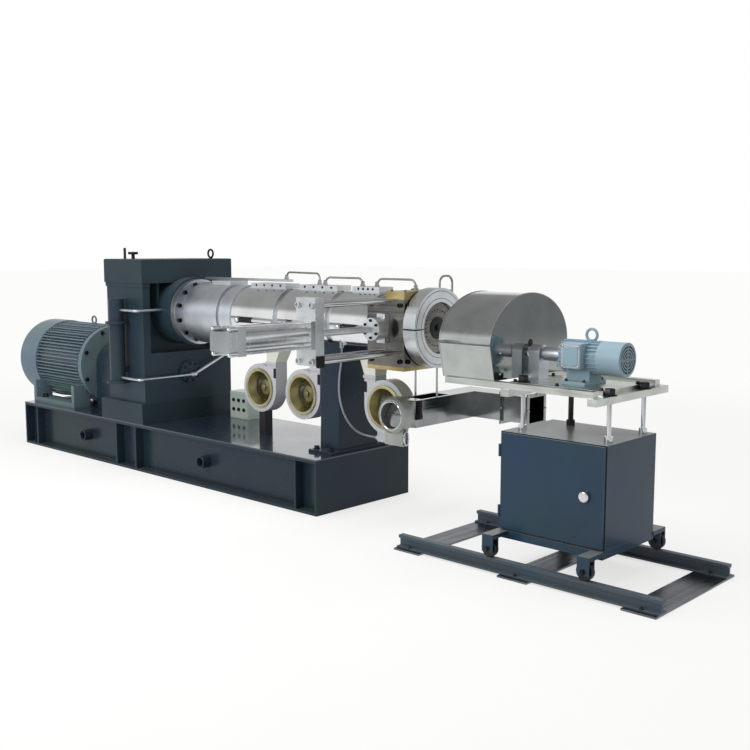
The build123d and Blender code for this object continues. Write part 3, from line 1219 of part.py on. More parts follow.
def cutter_motor():
    """Small foot-mounted motor with fins, fan cowl, terminal box and lifting eye."""
    start, end = CUTTER_MOTOR_START, CUTTER_MOTOR_START + CUTTER_MOTOR_LENGTH
    axis = CUTTER_AXIS
    body = rod_x((start, end), CUTTER_Y, axis, CUTTER_CORE_RADIUS)
    height = CUTTER_MOTOR_RADIUS - CUTTER_CORE_RADIUS + CUTTER_FIN_THICK
    fin = Pos(0, 0, CUTTER_MOTOR_RADIUS - height / 2) * Box(CUTTER_MOTOR_LENGTH, CUTTER_FIN_THICK, height)
    for number in range(CUTTER_FIN_COUNT):
        body += Pos((start + end) / 2, CUTTER_Y, axis) * Rot(360 * number / CUTTER_FIN_COUNT, 0, 0) * fin
    body += rod_x((end, end + CUTTER_COWL_LENGTH), CUTTER_Y, axis, CUTTER_MOTOR_RADIUS)
    foot_x = (start + CUTTER_FOOT_INSET, end - CUTTER_FOOT_INSET)
    for width, top in ((CUTTER_FOOT_WIDTH, PLATE_TOP + CUTTER_FOOT_THICK), (CUTTER_WEB_WIDTH, axis)):
        body += block(foot_x, (CUTTER_Y - width / 2, CUTTER_Y + width / 2), (PLATE_TOP, top))
    box = (start + CUTTER_BOX_INSET, start + CUTTER_BOX_INSET + CUTTER_BOX_LENGTH)
    body += block(box, (CUTTER_Y - CUTTER_BOX_REACH, CUTTER_Y),
                  (axis - CUTTER_BOX_DROP, axis + CUTTER_BOX_RISE))
    return body + eyebolt(start + CUTTER_EYE_INSET, CUTTER_Y, axis + CUTTER_CORE_RADIUS)


def hood_outline(inset):
    """Arched section of the hood in the YZ plane, drawn inside its sheet by inset."""
    half = HOOD_HALF_WIDTH - inset
    foot = HOOD_FOOT_HALF_WIDTH - inset
    low = HOOD_FOOT - HOOD_WAIST
    crown = EllipticalCenterArc((0, 0), half, HOOD_CROWN - inset, arc_size=180)
    sides = Polyline((-half, 0), (-foot, low), (foot, low), (half, 0))
    return make_face(Curve() + [crown, sides])


def hood_prism(x, inset):
    """Arch section carried along X between the two values of x."""
    plane = Plane(origin=(x[0], CUTTER_Y, HOOD_WAIST), x_dir=(0, 1, 0), z_dir=(1, 0, 0))
    return extrude(plane * hood_outline(inset), amount=x[1] - x[0])


def cutter_hood():
    """Arched stainless hood, open towards the die, with an end plate bored for the shaft."""
    hood = hood_prism((HOOD_LEFT, HOOD_RIGHT), 0)
    hood -= hood_prism((HOOD_LEFT - 1, HOOD_RIGHT - HOOD_SHEET), HOOD_SHEET)
    hole = ROTOR_SHAFT_RADIUS + HOOD_HOLE_GAP
    return hood - rod_x((HOOD_LEFT, HOOD_RIGHT + 1), CUTTER_Y, CUTTER_AXIS, hole)


def bearing_span():
    """X where the pedestal bearing begins and ends."""
    start = HOOD_RIGHT + ROTOR_BEARING_GAP
    return start, start + ROTOR_BEARING_LENGTH


def rotor_bearing():
    """Pedestal bearing between hood and motor."""
    x = bearing_span()
    half = ROTOR_BEARING_RADIUS
    housing = rod_x(x, CUTTER_Y, CUTTER_AXIS, half)
    housing += block(x, (CUTTER_Y - half, CUTTER_Y + half), (PLATE_TOP, CUTTER_AXIS))
    return housing - rod_x((x[0] - 1, x[1] + 1), CUTTER_Y, CUTTER_AXIS, ROTOR_SHAFT_RADIUS + ROTOR_CLEARANCE)


def cutter_rotor():
    """Shaft with its coupling and the knife head inside the hood."""
    tip = HOOD_LEFT + ROTOR_TIP_INSET
    shaft = rod_x((tip, CUTTER_MOTOR_START - ROTOR_END_GAP), CUTTER_Y, CUTTER_AXIS, ROTOR_SHAFT_RADIUS)
    coupling = (bearing_span()[1] + ROTOR_COUPLING_GAP, CUTTER_MOTOR_START - ROTOR_COUPLING_GAP)
    shaft += rod_x(coupling, CUTTER_Y, CUTTER_AXIS, ROTOR_COUPLING_RADIUS)
    hub = (tip + KNIFE_HUB_SETBACK, tip + KNIFE_HEAD_LENGTH)
    shaft += rod_x(hub, CUTTER_Y, CUTTER_AXIS, KNIFE_HUB_RADIUS)
    knife = Pos(0, 0, KNIFE_CENTRE_RADIUS) * Box(KNIFE_DEPTH, KNIFE_WIDTH, KNIFE_LENGTH)
    for number in range(KNIFE_COUNT):
        place = Pos(tip + KNIFE_HUB_SETBACK, CUTTER_Y, CUTTER_AXIS)
        shaft += place * Rot(360 * number / KNIFE_COUNT, 0, 0) * knife
    return shaft


def all_nodes():
    """Every node of the object by name."""
    nodes = {
        "base_front_beam": side_beam(-1),
        "base_back_beam": side_beam(1),
        "base_cross_members": base_cross_members(),
        "base_deck": base_deck(),
        "main_motor_frame": main_motor_frame(),
        "main_motor_cowl": main_motor_cowl(),
        "main_motor_end_shield": main_motor_end_shield(),
        "coupling_guard": coupling_guard(),
        "gearbox_plinth": gearbox_plinth(),
        "gearbox_housing": gearbox_housing(),
        "gearbox_lid": gearbox_lid(),
        "gearbox_fittings": gearbox_fittings(),
        "oil_cooler": oil_cooler(),
        "oil_pipes": oil_pipes(),
        "output_lantern": output_lantern(),
        "barrel": barrel(),
        "feed_throat": feed_throat(),
        "heater_covers": heater_covers(),
        "terminal_boxes": terminal_boxes(),
        "wiring_trough": wiring_trough(),
        "heater_conduits": heater_conduits(),
        "support_column": support_column(),
        "blowers": blowers(),
        "blower_inlets": blower_inlets(),
        "blower_boots": blower_boots(),
        "blower_cable": blower_cable(),
        "blower_stand": blower_stand(),
        "junction_box": junction_box(),
        "screen_changer_body": screen_changer_body(),
        "changer_heaters": changer_heaters(),
        "tie_bars": tie_bars(),
        "cylinder_yoke": cylinder_yoke(),
        "hydraulic_cylinder": hydraulic_cylinder(),
        "screen_slide": screen_slide(),
        "die_clamp": die_clamp(),
        "die_plate": die_plate(),
        "pellet_duct": pellet_duct(),
        "duct_collar": duct_collar(),
        "duct_hangers": duct_hangers(),
        "rail_front": rail(WHEEL_Y[0]),
        "rail_back": rail(WHEEL_Y[1]),
        "rail_ties": rail_ties(),
        "cart_cabinet": cart_cabinet(),
        "cabinet_door": cabinet_door(),
        "door_knob": door_knob(),
        "cart_underframe": cart_underframe(),
        "guide_posts": guide_posts(),
        "jack_screw": jack_screw(),
        "table_frame": table_frame(),
        "motor_plate": motor_plate(),
        "cutter_motor": cutter_motor(),
        "cutter_hood": cutter_hood(),
        "rotor_bearing": rotor_bearing(),
        "cutter_rotor": cutter_rotor(),
    }
    for end, x in zip(("left", "right"), WHEEL_X):
        for side, y in zip(("front", "back"), WHEEL_Y):
            nodes[f"caster_wheel_{side}_{end}"] = caster_wheel(x, y)
    return nodes


os.makedirs("parts", exist_ok=True)
for name, shape in all_nodes().items():
    export_step(shape, f"parts/{name}.step")
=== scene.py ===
# %% [markdown]
# # Dressing a plastic extruder
# The machine melts plastic in a long heated barrel, filters it in a screen changer and cuts it at the die.
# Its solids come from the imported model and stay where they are. This lesson gives them finishes, and
# adds the small pieces that make a machine believable: screws, fan wheels, clamps and one hanging cable.

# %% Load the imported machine
import math

import bmesh
import bpy
import numpy as np
from mathutils import Euler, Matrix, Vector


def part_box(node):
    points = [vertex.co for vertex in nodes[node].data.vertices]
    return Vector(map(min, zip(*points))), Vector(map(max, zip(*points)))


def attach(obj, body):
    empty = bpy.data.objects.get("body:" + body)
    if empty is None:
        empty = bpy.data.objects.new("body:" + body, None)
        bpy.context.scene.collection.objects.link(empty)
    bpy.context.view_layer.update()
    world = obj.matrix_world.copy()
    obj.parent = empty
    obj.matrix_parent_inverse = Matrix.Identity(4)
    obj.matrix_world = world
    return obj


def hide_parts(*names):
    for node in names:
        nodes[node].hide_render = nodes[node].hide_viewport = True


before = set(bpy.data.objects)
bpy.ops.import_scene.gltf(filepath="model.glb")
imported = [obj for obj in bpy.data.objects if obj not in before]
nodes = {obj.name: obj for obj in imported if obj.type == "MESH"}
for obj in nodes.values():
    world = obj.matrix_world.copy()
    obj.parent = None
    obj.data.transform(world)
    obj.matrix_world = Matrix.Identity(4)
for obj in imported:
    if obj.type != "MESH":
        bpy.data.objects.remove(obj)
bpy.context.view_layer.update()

# %% [markdown]
# ## The camera
# The photograph is a three-quarter view from the die's end, at eye height. A camera could be moved by eye
# until the picture fits. Here its place was worked out from the base's corners instead, so that the
# picture and the model share one perspective.

# %% Camera
CAMERA_PLACE = (5.7737, -4.3289, 1.5252)
CAMERA_YAW = 132.97
CAMERA_PITCH = -7.10
CAMERA_LENS = 48.88
CAMERA_SENSOR = 36

camera_data = bpy.data.cameras.new("camera")
camera_data.lens = CAMERA_LENS
camera_data.sensor_width = CAMERA_SENSOR
camera_data.clip_end = 200
camera = bpy.data.objects.new("camera", camera_data)
camera.location = CAMERA_PLACE
camera.rotation_euler = Euler((math.radians(90 + CAMERA_PITCH), 0, math.radians(CAMERA_YAW - 90)))
bpy.context.scene.collection.objects.link(camera)
bpy.context.scene.camera = camera
bpy.context.scene.view_settings.view_transform = "Standard"
print("camera", CAMERA_PLACE)

# %% [markdown]
# ## Colour and node helpers
# Colours are written as they look on a screen, in sRGB hex. Shaders work in linear light, so one
# function converts them. One more adds a node, sets its values and links whatever is a socket, so that
# a material below reads from top to bottom like a recipe.

# %% Helpers for materials
def linear(hex_code):
    """sRGB hex to linear RGBA by the sRGB curve."""
    channel = np.array([int(hex_code[i:i + 2], 16) for i in (1, 3, 5)]) / 255
    bent = ((channel + 0.055) / 1.055) ** 2.4
    return (*np.where(channel <= 0.04045, channel / 12.92, bent).tolist(), 1.0)


def add(tree, kind, props=None, inputs=None):
    """Adds one node. Values of inputs are numbers to set or output sockets to link."""
    node = tree.nodes.new(kind)
    for name, value in (props or {}).items():
        setattr(node, name, value)
    for name, value in (inputs or {}).items():
        if isinstance(value, bpy.types.NodeSocket):
            tree.links.new(value, node.inputs[name])
        else:
            node.inputs[name].default_value = value
    return node


def new_material(name):
    """An empty node material with its output node."""
    material = bpy.data.materials.new(name)
    material.use_nodes = True
    tree = material.node_tree
    tree.nodes.clear()
    return material, tree, add(tree, "ShaderNodeOutputMaterial")


def per_metre(millimetres):
    """Texture scale whose features are about that many millimetres wide."""
    return 1000 / millimetres


print("white in linear light", linear("#FFFFFF"))

# %% [markdown]
# ## Sprayed enamel
# Castings and welded frames are sprayed with enamel over filler. It gives a soft sheen, a slight
# orange-peel skin, cloudy differences where coats overlap, dust on top and pale rub marks along the edges.
# Where a top takes much of that pale dust, it is partly a painted reflection of the bright room.
# Worn edges could be painted by hand. The Bevel node finds them by itself: it returns the normal of a
# rounded edge, and where that leaves the true normal, there is an edge.

# %% Enamel
# Real orange peel is about 2 mm wide and chips less. Both are drawn coarser, or they would not show.
PEEL_MM = 9
SPECK_MM = 5
CLOUD_MM = 420
EDGE_MM = 3
# Grey of settled dust. Laid on thickly, it is also a painted pale sheen on tops.
DUST_AND_SHEEN = "#A8A79F"


def enamel(name, colour, worn, roughness=0.3, peel=0.05, dust_and_sheen=0.06, rub=0.6, lacquer=0.0):
    """Enamel: cloudy colour, tops pale with dust and painted sheen, rubbed edges, clear lacquer if it has
    one.
    """
    material, tree, output = new_material(name)
    place = add(tree, "ShaderNodeTexCoord").outputs["Object"]
    cloud = add(tree, "ShaderNodeTexNoise", {},
                {"Vector": place, "Scale": per_metre(CLOUD_MM), "Detail": 5.0})
    speck = add(tree, "ShaderNodeTexNoise", {},
                {"Vector": place, "Scale": per_metre(SPECK_MM), "Detail": 2.0})
    skin = add(tree, "ShaderNodeTexNoise", {},
               {"Vector": place, "Scale": per_metre(PEEL_MM), "Detail": 1.0})
    cloudy = add(tree, "ShaderNodeMix", {"data_type": "RGBA", "blend_type": "SOFT_LIGHT"},
                 {0: 0.35, 6: linear(colour), 7: cloud.outputs["Color"]})
    geometry = add(tree, "ShaderNodeNewGeometry")
    upward = add(tree, "ShaderNodeSeparateXYZ", {}, {0: geometry.outputs["Normal"]})
    # Faces turned up go pale: settled dust, and where dust_and_sheen is high, a painted sheen on top.
    dust_and_sheen_mask = add(tree, "ShaderNodeMapRange", {},
                  {"Value": upward.outputs["Z"], "From Min": 0.55, "To Max": dust_and_sheen})
    dust_and_sheen_colour = add(tree, "ShaderNodeMix", {"data_type": "RGBA"},
                {0: dust_and_sheen_mask.outputs[0], 6: cloudy.outputs[2], 7: linear(DUST_AND_SHEEN)})
    rounded = add(tree, "ShaderNodeBevel", {"samples": 4}, {"Radius": EDGE_MM / 1000})
    match = add(tree, "ShaderNodeVectorMath", {"operation": "DOT_PRODUCT"},
                {0: rounded.outputs[0], 1: geometry.outputs["Normal"]})
    broken = add(tree, "ShaderNodeMath", {"operation": "MULTIPLY_ADD"},
                 {0: speck.outputs["Fac"], 1: 0.16, 2: match.outputs["Value"]})
    chipped = add(tree, "ShaderNodeMapRange", {},
                  {"Value": broken.outputs[0], "From Min": 1.0, "From Max": 0.94, "To Max": rub})
    worn_colour = add(tree, "ShaderNodeMix", {"data_type": "RGBA"},
                      {0: chipped.outputs[0], 6: dust_and_sheen_colour.outputs[2], 7: linear(worn)})
    gloss = add(tree, "ShaderNodeMapRange", {},
                {"Value": cloud.outputs["Fac"], "To Min": roughness - 0.1, "To Max": roughness + 0.14})
    bump = add(tree, "ShaderNodeBump", {},
               {"Strength": peel, "Distance": 0.002, "Height": skin.outputs["Fac"],
                "Normal": rounded.outputs[0]})
    paint = add(tree, "ShaderNodeBsdfPrincipled", {},
                {"Base Color": worn_colour.outputs[2], "Roughness": gloss.outputs[0],
                 "Specular IOR Level": 0.18, "Coat Weight": lacquer, "Coat Roughness": 0.08,
                 "Normal": bump.outputs[0]})
    tree.links.new(paint.outputs[0], output.inputs["Surface"])
    return material


print("orange peel drawn", PEEL_MM, "mm wide, rounded edges", EDGE_MM, "mm")

# %% Dark enamels of frames and castings
# Slate enamel on the welded base: nearly black, with a low sheen along the webs.
base_enamel = enamel("enamel_slate_base", "#202D37", "#3E4A54", roughness=0.24)
# The deck has a clear coat, so it mirrors the machine a little.
deck_enamel = enamel("enamel_slate_deck", "#202D37", "#3E4A54", dust_and_sheen=0.0, lacquer=1.0)
# Cast iron under the same enamel looks a shade greyer.
gearbox_enamel = enamel("enamel_slate_gearbox", "#29363F", "#47535C")
# Grey-green stoving enamel on the drive motor, worn pale on its fins.
motor_enamel = enamel("enamel_grey_green_motor", "#5E7076", "#88959A")
# Powder coat on folded sheet: blue-grey and even. Its top is painted pale: some dust, and a painted
# reflection of the bright room.
cabinet_enamel = enamel("powder_coat_blue_grey", "#22384A", "#4A6072", peel=0.02, dust_and_sheen=0.4, lacquer=0.15)
# Rails are painted thinly, so they look dull and rub through soon.
rail_enamel = enamel("enamel_slate_rail", "#434F58", "#747F87", roughness=0.36)
print("dark paints", base_enamel.name, gearbox_enamel.name, cabinet_enamel.name)

# %% Pale enamels and plastic
# Light grey-blue enamel on the small motor of the cutter.
cutter_motor_enamel = enamel("enamel_grey_blue_motor", "#90A5B2", "#B6C2CA")
# Cast aluminium blowers in a pale grey with a touch of lilac.
blower_enamel = enamel("enamel_lilac_grey_blower", "#B1B2B8", "#CFD0D6")
# Air boots in cream, with a thick skin from the brush.
boot_enamel = enamel("enamel_cream_boot", "#C9CAC0", "#DADBD2", peel=0.2)
# The junction box is a pale grey with some green in it.
junction_enamel = enamel("enamel_pale_green_grey_box", "#B4BDB8", "#CDD4D0")
# Moulded plastic is dull and keeps its colour to the edge, which only shines. The same black paints
# the shade inside holes and slots and behind the fan grille.
black_plastic_and_hole_shade = enamel("black_plastic_and_painted_hole_shade", "#18191B", "#2C2D30", roughness=0.45, rub=0.3)
print("pale paints", cutter_motor_enamel.name, blower_enamel.name, boot_enamel.name)

# %% [markdown]
# ## Bare and polished metal
# Turned and ground steel carries fine marks along the way the tool went. They could be modelled, at the
# cost of millions of faces. A noise texture is enough: squeezed along one axis it draws rings, and
# squeezed along two it draws a grain along the third. Polished sheet has fainter marks and a low roughness.

# %% Metal
# Real tool marks are under 2 mm wide. They are drawn much coarser, or they would be finer than a pixel.
MARK_MM = 16
SQUEEZE = 40
STAIN_MM = 160
METAL_EDGE_MM = 1.5


def metal(name, colour, stain, squeeze, roughness, marks=0.08, spread=0.1):
    """Metal with tool marks: squeeze says how much finer the pattern is along X, Y and Z."""
    material, tree, output = new_material(name)
    place = add(tree, "ShaderNodeTexCoord").outputs["Object"]
    along = add(tree, "ShaderNodeMapping", {}, {"Vector": place, "Scale": squeeze})
    mark = add(tree, "ShaderNodeTexNoise", {},
               {"Vector": along.outputs[0], "Scale": per_metre(MARK_MM * SQUEEZE), "Detail": 6.0,
                "Roughness": 0.65})
    patch = add(tree, "ShaderNodeTexNoise", {},
                {"Vector": place, "Scale": per_metre(STAIN_MM), "Detail": 6.0})
    patchy = add(tree, "ShaderNodeMapRange", {},
                 {"Value": patch.outputs["Fac"], "From Min": 0.4, "From Max": 0.75})
    tone = add(tree, "ShaderNodeMix", {"data_type": "RGBA"},
               {0: patchy.outputs[0], 6: linear(colour), 7: linear(stain)})
    gloss = add(tree, "ShaderNodeMapRange", {},
                {"Value": mark.outputs["Fac"], "From Min": 0.3, "From Max": 0.7,
                 "To Min": max(roughness - spread, 0.02), "To Max": roughness + spread})
    rounded = add(tree, "ShaderNodeBevel", {"samples": 4}, {"Radius": METAL_EDGE_MM / 1000})
    bump = add(tree, "ShaderNodeBump", {},
               {"Strength": marks, "Distance": 0.0015, "Height": mark.outputs["Fac"],
                "Normal": rounded.outputs[0]})
    steel = add(tree, "ShaderNodeBsdfPrincipled", {},
                {"Base Color": tone.outputs[2], "Metallic": 1.0, "Roughness": gloss.outputs[0],
                 "Normal": bump.outputs[0]})
    tree.links.new(steel.outputs[0], output.inputs["Surface"])
    return material


ALONG_X = (SQUEEZE, 1, 1)
ALONG_Y = (1, SQUEEZE, 1)
ALONG_Z = (1, 1, SQUEEZE)
GRAIN_X = (1, SQUEEZE, SQUEEZE)
GRAIN_Y = (SQUEEZE, 1, SQUEEZE)
print("tool marks every", MARK_MM, "mm")

# %% Machined steels
# Turned and milled faces scatter the light, so they look pale and soft.
turned_steel = metal("turned_steel", "#D6DBE1", "#B9BEC5", ALONG_X, 0.4)
milled_steel = metal("milled_steel", "#D6DADC", "#BDC1C4", ALONG_Z, 0.42)
# Steel that has been hot goes brown-grey, here with a smooth ground face.
browned_steel = metal("heat_browned_steel", "#918F8A", "#6E6B66", ALONG_Z, 0.2, marks=0.04)
# Ground rods and honed tubes show a sharp streak of light along their length.
ground_rod = metal("ground_rod", "#C4C6C6", "#AAADAE", ALONG_Y, 0.16, marks=0.04, spread=0.05)
cylinder_steel = metal("honed_cylinder_steel", "#D8DBDC", "#C2C6C8", ALONG_Y, 0.24, marks=0.04, spread=0.05)
# Black oxide leaves small parts dark with a faint shine.
black_steel = metal("black_oxide_steel", "#3A3A3C", "#262627", ALONG_X, 0.42)
# Flats straight from the rolling mill are dark and streaked along their length. The same dark steel
# also paints the shade in the die clamp's grooves.
rolled_steel_and_groove_shade = metal("hot_rolled_flat_and_painted_groove_shade", "#6E747A", "#4B5056", GRAIN_Y, 0.3, marks=0.04)
print("steels", turned_steel.name, milled_steel.name, ground_rod.name)

# %% Sheets, platings and brass
# Stainless sheet, polished for the covers and to a darker mirror for the hood, shows what is round it.
polished_sheet = metal("polished_stainless_sheet", "#E0E2E2", "#CFD1D1", ALONG_X, 0.08,
                       marks=0.015, spread=0.03)
hood_sheet = metal("mirror_stainless_sheet", "#B2B6B4", "#A0A4A2", ALONG_X, 0.09, marks=0.012, spread=0.03)
# The duct's sheet is left as rolled, and its cast inlet blasted to an even satin.
duct_sheet = metal("stainless_duct_sheet", "#989C9C", "#7B7F81", ALONG_Z, 0.14, marks=0.03, spread=0.05)
blasted_steel = metal("blasted_stainless", "#A6A9A3", "#8B8E89", ALONG_Y, 0.45, marks=0.2)
# Hard chrome on posts and knobs is the sharpest mirror on the machine.
chrome = metal("hard_chrome", "#D2D4D6", "#BEC0C4", ALONG_Z, 0.08, marks=0.02, spread=0.03)
# Brass plates have gone dull with heat.
brass = metal("heater_brass", "#C2B183", "#8F7B4C", ALONG_Y, 0.36)
# Zinc passivated in yellow. On the fan wheels deep in the blower it is painted darker olive, as painted
# shade.
shaded_passivated_wheel = metal("passivated_wheel_painted_shade", "#827C5C", "#5F5A40", ALONG_Y, 0.45)
passivated = metal("yellow_passivated_zinc", "#BDB791", "#8C8461", ALONG_Y, 0.36)
# Bright zinc on the table has a faint warm cast.
zinc = metal("zinc_plated_steel", "#CFD3CD", "#B0B4AE", GRAIN_X, 0.32, marks=0.03)
print("sheets and platings", polished_sheet.name, chrome.name, brass.name)

# %% [markdown]
# ## A finish for every solid
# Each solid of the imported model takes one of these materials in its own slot. They could be set one by one
# in the interface. A table from finish to solids shows at a glance what is made of what.

# %% Finish of every CAD node
CASTERS = [f"caster_wheel_{end}_{side}" for end in ("front", "back") for side in ("left", "right")]
FINISH = {
    base_enamel: ["base_front_beam", "base_back_beam", "base_cross_members", "coupling_guard",
                  "gearbox_plinth", "support_column"],
    deck_enamel: ["base_deck"],
    gearbox_enamel: ["gearbox_housing", "gearbox_lid", "oil_cooler", "output_lantern"],
    motor_enamel: ["main_motor_frame", "main_motor_cowl", "main_motor_end_shield"],
    cutter_motor_enamel: ["cutter_motor"],
    cabinet_enamel: ["cart_cabinet", "cabinet_door", "cart_underframe"],
    rail_enamel: ["rail_front", "rail_back"],
    blower_enamel: ["blowers"],
    boot_enamel: ["blower_boots"],
    junction_enamel: ["junction_box"],
    passivated: ["blower_inlets"],
    turned_steel: ["barrel", "rotor_bearing", "cutter_rotor", "oil_pipes"],
    milled_steel: ["feed_throat", "cylinder_yoke", "die_clamp", "screen_slide", "terminal_boxes",
                   "wiring_trough"],
    browned_steel: ["screen_changer_body", "die_plate"],
    ground_rod: ["tie_bars", "duct_hangers"],
    cylinder_steel: ["hydraulic_cylinder"],
    polished_sheet: ["heater_covers"],
    hood_sheet: ["cutter_hood"],
    duct_sheet: ["pellet_duct"],
    blasted_steel: ["duct_collar", "heater_conduits"],
    chrome: ["guide_posts", "door_knob"],
    brass: ["changer_heaters"],
    zinc: ["table_frame", "motor_plate"],
    rolled_steel_and_groove_shade: ["rail_ties"],
    black_steel: ["blower_stand", "jack_screw", "gearbox_fittings"] + CASTERS,
}
for material, names in FINISH.items():
    for name in names:
        nodes[name].data.materials.clear()
        nodes[name].data.materials.append(material)
print("left for a piece below", sorted(set(nodes) - {name for names in FINISH.values() for name in names}))

# %% [markdown]
# ## Shapes from loops
# Screws, nuts, knobs and grilles are all the same kind of surface: a row of closed loops with the same
# number of corners, joined by quads and capped at the ends. Blender's own cylinders would need a call for
# each screw. As arrays, one function works out the faces from the array's shape, and hundreds of copies
# are one addition.

# %% Surfaces through loops
def loft(loops, closed=False):
    """Surface through loops, an array (loop, corner, xyz): quads between, capped or closed on itself."""
    count, columns, _ = loops.shape
    corner = np.arange(count * columns).reshape(count, columns)
    after = np.roll(corner, -1, axis=0) if closed else corner[1:]
    before = corner if closed else corner[:-1]
    sides = np.stack([before, np.roll(before, -1, 1), np.roll(after, -1, 1), after], axis=-1)
    faces = [sides.reshape(-1, 4)]
    if not closed:
        faces += [corner[:1, ::-1], corner[-1:]]
    return loops.reshape(-1, 3), faces


def rings(profile, sides):
    """Loops round Z, one for each (r, h): corner k is (r cos a, r sin a, h) with a = 2 pi k / sides."""
    angle = np.arange(sides) * 2 * math.pi / sides
    radius, height = np.array(profile, float).T
    flat = np.stack([np.cos(angle), np.sin(angle), np.zeros(sides)], axis=-1)
    return radius[:, None, None] * flat + height[:, None, None] * np.array([0, 0, 1])


def turned(profile, sides):
    """A solid of revolution: the loops of the profile's (r, h) pairs, joined and capped."""
    return loft(rings(profile, sides))


def dome(radius, height, steps, sides):
    """Rounded cap: ring a has radius r cos a at height h sin a, with a from 0 to nearly a right angle."""
    angle = np.linspace(0, 1.5, steps)
    return turned(np.column_stack([radius * np.cos(angle), height * np.sin(angle)]), sides)


def plate(width, height, depth, bevel):
    """Rectangle of width by height standing depth proud, its outer edge cut back by bevel."""
    sign = np.array([(1, 1), (-1, 1), (-1, -1), (1, -1)])
    cut = np.array([0, 0, bevel])[:, None, None]
    level = np.array([0, depth - bevel, depth])[:, None, None]
    flat = sign * (np.array([width / 2, height / 2]) - cut)
    return loft(np.concatenate([flat, np.broadcast_to(level, (3, 4, 1))], axis=-1))


print("a dome of five rings has", len(dome(1.0, 1.0, 5, 12)[0]), "points")

# %% Places and paths
X, Y, Z = np.eye(3)


def put(shape, places, out):
    """Copies of shape at places, its Z turned to the direction out and its Y kept as upright as can be."""
    points, faces = shape
    out = np.array(out, float) / np.linalg.norm(out)
    side = X if abs(out[2]) > 0.99 else np.cross(Z, out)
    side = side / np.linalg.norm(side)
    basis = np.array([side, np.cross(out, side), out])
    places = np.atleast_2d(np.array(places, float))
    copies = places[:, None, :] + (points @ basis)[None]
    shift = np.arange(len(places))[:, None, None] * len(points)
    return copies.reshape(-1, 3), [(face[None] + shift).reshape(-1, face.shape[1]) for face in faces]


def circle(centre, out, radius, count, turn=0.0):
    """Places spread evenly round centre on a circle that faces out, the first one turned by degrees."""
    points = rings([(radius, 0)], count)[0]
    cosine, sine = math.cos(math.radians(turn)), math.sin(math.radians(turn))
    spun = points @ np.array([[cosine, sine, 0], [-sine, cosine, 0], [0, 0, 1]])
    return put((spun, []), [centre], out)[0]


def tube(path, radius, sides=10, closed=False):
    """Pipe along path: at each point a circle across the direction to the next, carried by a fixed side."""
    path = np.array(path, float)
    if closed:
        along = np.roll(path, -1, 0) - np.roll(path, 1, 0)
    else:
        along = np.gradient(path, axis=0)
    along /= np.linalg.norm(along, axis=1)[:, None]
    level = np.abs(along[:, 2]).max() < 0.9
    spare = np.array([0.31, 0.22, 0.93]) if level else np.array([0.9, 0.41, 0.13])
    side = np.cross(along, spare)
    side /= np.linalg.norm(side, axis=1)[:, None]
    up = np.cross(along, side)
    angle = np.arange(sides) * -2 * math.pi / sides
    loops = path[:, None] + radius * (np.cos(angle)[None, :, None] * side[:, None]
                                      + np.sin(angle)[None, :, None] * up[:, None])
    return loft(loops, closed)


def rows(*spans):
    """All combinations of the values given for X, Y and Z."""
    return np.stack(np.meshgrid(*spans, indexing="ij"), axis=-1).reshape(-1, 3)


def spread(low, high, count, inset):
    """Evenly spaced values between low and high, the outer ones set in by inset."""
    return np.linspace(low + inset, high - inset, count)


print("three places in a metre", spread(0, 1, 3, 0.1))

# %% From arrays to a piece
SHARP_DEGREES = 35


def piece(name, shapes, material, body):
    """One mesh of all shapes, smooth but for its sharp edges, riding on body."""
    starts = np.cumsum([0] + [len(points) for points, faces in shapes])
    points = np.concatenate([points for points, faces in shapes])
    faces = [(face + start).tolist() for (_, parts), start in zip(shapes, starts) for face in parts]
    mesh = bpy.data.meshes.new(name)
    mesh.from_pydata(points.tolist(), [], [corner for part in faces for corner in part])
    mesh.validate()
    skin = bmesh.new()
    skin.from_mesh(mesh)
    bmesh.ops.recalc_face_normals(skin, faces=skin.faces)
    skin.to_mesh(mesh)
    skin.free()
    mesh.shade_smooth()
    mesh.set_sharp_from_angle(angle=math.radians(SHARP_DEGREES))
    mesh.materials.append(material)
    thing = bpy.data.objects.new(name, mesh)
    bpy.context.scene.collection.objects.link(thing)
    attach(thing, body)
    print(name, "faces", len(mesh.polygons))


# %% [markdown]
# ## Screws
# A hexagon screw is a washer, a six-sided head and a chamfer on top. A socket screw is a round head with
# a well. Threads and the well's six sides never show at this size, so both are a few dozen faces and
# hundreds of them stay cheap.

# %% Screw shapes
def hex_screw(width):
    """Hexagon head of that width across its flats, on a round washer."""
    corner = width / math.sqrt(3)
    washer = turned([(corner * 1.25, 0), (corner * 1.25, width * 0.12), (corner, width * 0.16)], 18)
    head = turned([(corner, width * 0.12), (corner, width * 0.62), (corner * 0.86, width * 0.72)], 6)
    return washer, head


def socket_screw(radius):
    """Round head with a bevelled rim and a round well: up the outside, over the rim and down again."""
    outside = [(radius, 0), (radius, radius * 0.8), (radius * 0.86, radius * 0.95)]
    well = [(radius * 0.6, radius * 0.95), (radius * 0.6, radius * 0.35)]
    return (turned(outside + well, 18),)


def screws(shape, places, out):
    """Every part of one screw at all the places."""
    return [put(part, places, out) for part in shape]


print("a hexagon screw has", sum(len(points) for points, faces in hex_screw(0.02)), "points")

# %% [markdown]
# ## Screws of the drive
# The motor's feet are bolted to the deck, its end shield to the frame and the gearbox to its plinth. Each
# screw could be set by eye. Its place is taken from the solids' own boxes, so that it follows them.

# %% Screws of motor, plinth and column
FOOT_THICKNESS = 0.034
SHAFT_HEIGHT = 0.315

